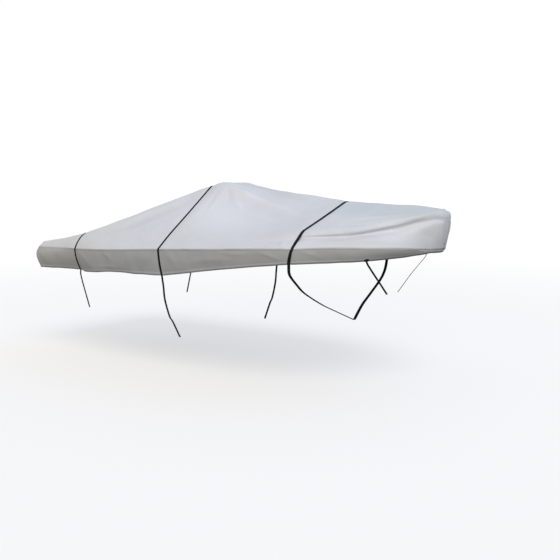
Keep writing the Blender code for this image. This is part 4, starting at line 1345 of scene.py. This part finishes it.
# %% Where the straps run
STRAP_THICK = 0.0015
STRAP_GAP = 0.0006             # the straps lie this far off the cloth
BRIDGE_FROM = 10               # a strap may span hollows from this many steps above the rail
DRIFT_LIFT = 0.0025            # the fore strap stands off the skirt where it leans aft
STRAP_TAILS = {                # below the hem: x, half width, z
    "strap_aft": ((-1.690, 1.030, -1.200), (-1.690, 0.911, -1.597)),
    "strap_mid": ((-0.170, 1.085, -1.200), (-0.170, 1.064, -1.357), (-0.170, 0.995, -1.554),
                  (-0.170, 0.938, -1.634), (-0.170, 0.824, -1.831)),
    "strap_fore": ((1.585, 1.020, -0.950), (1.610, 0.930, -1.060), (1.624, 0.800, -1.165),
                   (1.645, 0.520, -1.310), (1.675, 0.290, -1.410), (1.745, 0.000, -1.540)),
}


def side_table(values, j):
    """x and values of the starboard half ring at step j, forward of the stern corner."""
    ids = RING_IDS[COLUMNS + CORNER_ROWS:FORE_ROW, j]
    return BASE[ids, 0], values[ids]


def on_cover(x, j, values):
    """Value at x on step j of the starboard side, between the mesh rows."""
    xs, found = side_table(values, j)
    return np.array([np.interp(x, xs, found[:, axis]) for axis in range(3)])


def bridged(line, outs, first, last):
    """The line with its hollows between two indices spanned straight, as a taut strap does."""
    kept = [first]
    for i in range(first + 1, last + 1):
        while len(kept) > 1:
            a, b = line[kept[-2]], line[kept[-1]]
            if np.cross(b[1:] - a[1:], line[i][1:] - a[1:]) > 0.0:
                break
            kept.pop()
        kept.append(i)
    line = line.copy()
    outs = outs.copy()
    for a, b in zip(kept, kept[1:]):
        for i in range(a + 1, b):
            t = (i - a) / (b - a)
            line[i] = line[a] + (line[b] - line[a]) * t
            outs[i] = outs[a] + (outs[b] - outs[a]) * t
    return line, outs / np.linalg.norm(outs, axis=1)[:, None]


def strap_path(name):
    """Middle line and outward directions of the starboard half of a strap, ridge to tail."""
    station = STRAP_STATIONS[name]
    drift = FORE_STRAP_DRIFT if name == "strap_fore" else 0.0
    under = BASE - BASE_NORMALS * DENT
    line = []
    outs = []
    row = int(np.argmin(np.abs(ROWS[:FORE_ROW, 0] - station)))
    for c in range(COLUMNS, 0, -1):
        spot = under[STRIP_IDS[row, c]].copy()
        spot[0] = station
        line.append(spot)
        outs.append(BASE_NORMALS[STRIP_IDS[row, c]])
    for j in range(HEM + 1):
        share = np.clip((j - FOLD) / (HEM - FOLD), 0.0, 1.0)
        out = on_cover(station + drift * share, j, BASE_NORMALS)
        spot = on_cover(station + drift * share, j, under)
        band = BAND_RISE if j >= FOLD else 0.0
        lift = STRAP_GAP + band + (DRIFT_LIFT * share if drift else 0.0)
        line.append(spot + out * lift)
        outs.append(out)
    rail = COLUMNS + RAIL
    return bridged(np.array(line), np.array(outs), rail - BRIDGE_FROM,
                   COLUMNS + FOLD)


print("straps at", STRAP_STATIONS)

# %% The webbing's ribbon
SHARP_EDGE = 50.0              # degrees
RIBBON_PROFILE = (             # across the width as a share, and height as a share of thickness
    (-0.50, 0.15), (-0.50, 0.80), (-0.47, 1.00), (-0.25, 1.06), (0.00, 1.08),
    (0.25, 1.06), (0.47, 1.00), (0.50, 0.80), (0.50, 0.15), (0.45, 0.0), (-0.45, 0.0),
)


def ribbon(name, line, sides, outs, width, closed):
    """Webbing along a line; sides and outs are its unit cross directions at each point."""
    made = swept(name, line, sides, outs, RIBBON_PROFILE, (width, STRAP_THICK), WEBBING, closed)
    made.data.set_sharp_from_angle(angle=math.radians(SHARP_EDGE))
    return made


def frames(line, side_hint):
    """Cross directions of a free run of webbing whose width lies near side_hint."""
    along = np.gradient(line, axis=0)
    along /= np.linalg.norm(along, axis=1)[:, None]
    side = side_hint - along * (along @ side_hint)[:, None]
    side /= np.linalg.norm(side, axis=1)[:, None]
    return side, np.cross(side, along)


TAIL_STEPS = 8                 # steps for each point of a tail
FORWARD = np.array((1.0, 0.0, 0.0))
MIRROR = np.array((1.0, -1.0, 1.0))
for name, tail in STRAP_TAILS.items():
    line, outs = strap_path(name)
    tail = np.array(tail) * MIRROR
    hanging = curve_through(np.vstack((line[-1], tail)), TAIL_STEPS * len(tail))[1:]
    half = np.vstack((line, hanging))
    side, half_outs = frames(half, FORWARD)
    half_outs *= np.sign(np.sum(half_outs[:len(outs)] * outs))
    closed = tail[-1][1] == 0.0
    other = half[1:-1] if closed else half[1:]
    whole = np.vstack((half[::-1], other * MIRROR))
    whole_outs = np.vstack((half_outs[::-1], half_outs[1:len(other) + 1] * MIRROR))
    whole_sides = np.vstack((side[::-1], side[1:len(other) + 1] * MIRROR))
    strap = ribbon("webbing_" + name, whole, whole_sides, whole_outs, STRAP_WIDTHS[name], closed)
    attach(strap, "root")
    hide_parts(name)
    print(strap.name, len(whole), "points long")

# %% [markdown]
# ## Bow ties
#
# A short tie is sewn under a patch near the hem on each side and runs down to the stem.

# %% Ties and patches
TIE_WIDTH = 0.020
TIE_GAP = 0.0004
TIE_HEIGHTS = (0.034, 0.020, 0.0, -0.012)    # points of the tie above and below the hem
TIE_POINTS = 26
TIE_TAIL = ((2.292, 0.640, -0.842), (2.266, 0.470, -0.955), (2.249, 0.340, -1.042),
            (2.225, 0.120, -1.200))
PATCH = (0.046, 0.030, 0.0015)  # width, height, thickness
PATCH_ROUND = 0.003
PATCH_OVER = 1.1               # it lies this many thicknesses of webbing above the tie's back
PATCH_ABOVE_HEM = 0.004
PATCH_MARGIN = 0.004           # the box of stitches lies this far inside the patch's edge
BOX_STITCH = dict(STITCH, Pitch=0.0032, Length=0.0028, Width=0.0010, Height=0.0008)
box_stitches = []


def tie_frame(sign):
    """Hem point nearest the tie, and the along, up and out directions there."""
    n = LAST_ROW
    rows = np.arange(1, n) if sign < 0.0 else np.arange(n + 1, 2 * n)
    hems = BASE[RING_IDS[rows, HEM]]
    row = rows[int(np.argmin(np.abs(hems[:, 0] - TIE_TAIL[0][0])))]
    hem = COVER[RING_IDS[row, HEM]]
    out = COVER_NORMALS[RING_IDS[row, HEM]]
    up = COVER[RING_IDS[row, HEM - 3]] - hem
    up /= np.linalg.norm(up)
    along = np.cross(up, out)
    along /= np.linalg.norm(along)
    return hem, along, up, np.cross(along, up)


def make_patch(name, place, along, up, out):
    """A small stiff square of doubled cloth with rounded corners."""
    shell = bmesh.new()
    corners = []
    for dx, dz in ((-0.5, 0.0), (0.5, 0.0), (0.5, 1.0), (-0.5, 1.0)):
        corners.append(shell.verts.new(place + along * dx * PATCH[0] + up * dz * PATCH[1]))
    face = shell.faces.new(corners)
    bmesh.ops.bevel(shell, geom=list(shell.verts), offset=PATCH_ROUND, segments=3,
                    affect="VERTICES", profile=0.5)
    grown = bmesh.ops.extrude_face_region(shell, geom=list(shell.faces))
    lifted = [item for item in grown["geom"] if isinstance(item, bmesh.types.BMVert)]
    bmesh.ops.translate(shell, verts=lifted, vec=out * PATCH[2])
    bmesh.ops.recalc_face_normals(shell, faces=shell.faces)
    mesh = bpy.data.meshes.new(name)
    shell.to_mesh(mesh)
    shell.free()
    layer = mesh.uv_layers.new(name="cloth")
    for loop in mesh.loops:
        spot = np.array(mesh.vertices[loop.vertex_index].co) - place
        layer.data[loop.index].uv = (float(spot @ along), float(spot @ up))
    mesh.materials.append(WEBBING)
    made = bpy.data.objects.new(name, mesh)
    bpy.context.scene.collection.objects.link(made)
    return made


for label, sign in (("starboard", -1.0), ("port", 1.0)):
    hem, along, up, out = tie_frame(sign)
    sewn = hem + out * (TIE_GAP + BAND_RISE)
    start = [sewn + up * height for height in TIE_HEIGHTS]
    tail = [np.array((x, sign * w, z)) for x, w, z in TIE_TAIL]
    line = np.vstack((start[:3], curve_through(np.array(start[2:] + tail), TIE_POINTS)[1:]))
    side, free_out = frames(line, along)
    free_out *= np.sign(free_out[0] @ out)
    tie = ribbon("webbing_tie_" + label, line, side, free_out, TIE_WIDTH, False)
    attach(tie, "root")
    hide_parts("bow_tie_" + label)
    base = sewn + up * PATCH_ABOVE_HEM + out * (PATCH_OVER * STRAP_THICK + TIE_GAP)
    patch = make_patch("patch_" + label, base, along, up, out)
    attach(patch, "root")
    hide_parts("tie_patch_" + label)
    print(tie.name, "and", patch.name)
    top = base + out * PATCH[2]
    half = np.array((0.5 * PATCH[0] - PATCH_MARGIN, 0.5 * PATCH[1] - PATCH_MARGIN))
    middle = top + up * 0.5 * PATCH[1]
    corners = [middle + along * sx * half[0] + up * sz * half[1]
               for sx, sz in ((-1, -1), (1, -1), (1, 1), (-1, 1))]
    for loop in ([*corners, corners[0]], corners[::2], corners[1::2]):
        box_stitches.append((np.array(loop), np.tile(out, (len(loop), 1))))
sew("stitches_patches", box_stitches, "webbing", Thread=BLACK_THREAD, **BOX_STITCH)

# %% [markdown]
# ## Studio
#
# The floor lies at the ground's height, well below, because the cover hangs at the height
# where it is used. Floor and backdrop are pale and run into each other. Both are kept out of
# the bounced light, and the world gives the sky and the darker ground instead: under a real
# cover the ground is far less bright than a white studio floor. That darker ground light and
# the skirt cloth's painted shade make the skirts look darker than the deck.

# %% Floor and backdrop
GROUND_Z = -2.218              # height of the ground below the peak
FLOOR_RADIUS = 40.0
FLOOR_PLAIN = 5.0              # the floor is plain to here and has run into the backdrop
FLOOR_GONE = 17.0              # by here
FLOOR_GLOW = 0.55              # share of the backdrop's white in the plain part


def stage_object(name, mesh, finish):
    """A stage object that the camera sees but that throws no light on the cover."""
    mesh.materials.append(finish)
    made = bpy.data.objects.new(name, mesh)
    made.visible_diffuse = False
    made.visible_glossy = False
    bpy.context.scene.collection.objects.link(made)
    return made


def floor_material():
    """Matt white near the cover, running into the white of the backdrop further out."""
    made, tree, shader = new_material("floor")
    shader.inputs["Base Color"].default_value = (0.93, 0.915, 0.89, 1.0)
    shader.inputs["Roughness"].default_value = 0.9
    coords = tree.nodes.new("ShaderNodeTexCoord")
    length = tree.nodes.new("ShaderNodeVectorMath")
    length.operation = "LENGTH"
    tree.links.new(coords.outputs["Object"], length.inputs[0])
    spread = tree.nodes.new("ShaderNodeMapRange")
    spread.interpolation_type = "SMOOTHSTEP"
    spread.inputs["From Min"].default_value = FLOOR_PLAIN
    spread.inputs["From Max"].default_value = FLOOR_GONE
    spread.inputs["To Min"].default_value = FLOOR_GLOW
    tree.links.new(length.outputs["Value"], spread.inputs["Value"])
    white = tree.nodes.new("ShaderNodeEmission")
    made.cycles.emission_sampling = "NONE"
    mix = tree.nodes.new("ShaderNodeMixShader")
    tree.links.new(spread.outputs[0], mix.inputs[0])
    tree.links.new(shader.outputs[0], mix.inputs[1])
    tree.links.new(white.outputs[0], mix.inputs[2])
    tree.links.new(mix.outputs[0], tree.nodes["Material Output"].inputs["Surface"])
    return made


def disc(radius, z, steps=64):
    """A flat round mesh."""
    mesh = bpy.data.meshes.new("disc")
    ring = [(radius * math.cos(math.tau * i / steps), radius * math.sin(math.tau * i / steps), z)
            for i in range(steps)]
    mesh.from_pydata(ring, [], [tuple(range(steps))])
    return mesh


def dome(radius, z, steps=48, rings=16):
    """A half sphere that opens downwards."""
    points = []
    for j in range(rings + 1):
        up = 0.5 * math.pi * j / (rings + 1)
        points += [(radius * math.cos(up) * math.cos(math.tau * i / steps),
                    radius * math.cos(up) * math.sin(math.tau * i / steps),
                    z + radius * math.sin(up)) for i in range(steps)]
    faces = [(j * steps + i, (j + 1) * steps + i, (j + 1) * steps + (i + 1) % steps,
              j * steps + (i + 1) % steps) for j in range(rings) for i in range(steps)]
    faces.append(tuple(rings * steps + i for i in range(steps)))
    mesh = bpy.data.meshes.new("dome")
    mesh.from_pydata(points, [], faces)
    return mesh


backdrop_finish, _, backdrop_shader = new_material("backdrop")
backdrop_shader.inputs["Base Color"].default_value = (0.0, 0.0, 0.0, 1.0)
backdrop_shader.inputs["Emission Color"].default_value = (1.0, 1.0, 1.0, 1.0)
backdrop_shader.inputs["Emission Strength"].default_value = 1.0
backdrop_finish.cycles.emission_sampling = "NONE"
stage_object("floor", disc(FLOOR_RADIUS, GROUND_Z), floor_material())
backdrop = stage_object("backdrop", dome(FLOOR_RADIUS, GROUND_Z), backdrop_finish)
backdrop.visible_shadow = False
backdrop.visible_transmission = False
print("ground at", GROUND_Z)


# %% Lights
def soft_light(name, round_from_side, up, strength, spread, colour):
    """A distant soft light; round_from_side is degrees from starboard towards the bow."""
    data = bpy.data.lights.new(name, "SUN")
    data.energy = math.pi * strength
    data.angle = math.radians(spread)
    data.color = colour
    made = bpy.data.objects.new(name, data)
    made.rotation_euler = (math.radians(90.0 - up), 0.0, math.radians(round_from_side))
    bpy.context.scene.collection.objects.link(made)


soft_light("key", 50.0, 45.0, 0.55, 35.0, (1.0, 0.99, 0.94))
soft_light("cool rim", 150.0, 45.0, 0.19, 50.0, (0.15, 0.35, 1.0))
soft_light("low front fill", 20.0, 10.0, 0.36, 40.0, (0.99, 0.92, 0.95))
soft_light("port fill", 205.0, 25.0, 0.12, 60.0, (0.97, 0.98, 1.0))

SKY = 0.40
GROUND_LIGHT = 0.14
HORIZON = 0.02                 # half height of the soft line between them
world = bpy.data.worlds.new("studio")
world.use_nodes = True
bpy.context.scene.world = world
sky_tree = world.node_tree
direction = sky_tree.nodes.new("ShaderNodeTexCoord")
height = sky_tree.nodes.new("ShaderNodeSeparateXYZ")
sky_tree.links.new(direction.outputs["Generated"], height.inputs[0])
sky = sky_tree.nodes.new("ShaderNodeMapRange")
sky.inputs["From Min"].default_value = -HORIZON
sky.inputs["From Max"].default_value = HORIZON
sky.inputs["To Min"].default_value = GROUND_LIGHT
sky.inputs["To Max"].default_value = SKY
sky_tree.links.new(height.outputs["Z"], sky.inputs["Value"])
background = sky_tree.nodes["Background"]
background.inputs["Color"].default_value = (0.96, 0.98, 1.0, 1.0)
sky_tree.links.new(sky.outputs[0], background.inputs["Strength"])
bpy.context.scene.view_settings.view_transform = "Standard"
print("lights:", ", ".join(lamp.name for lamp in bpy.data.lights))
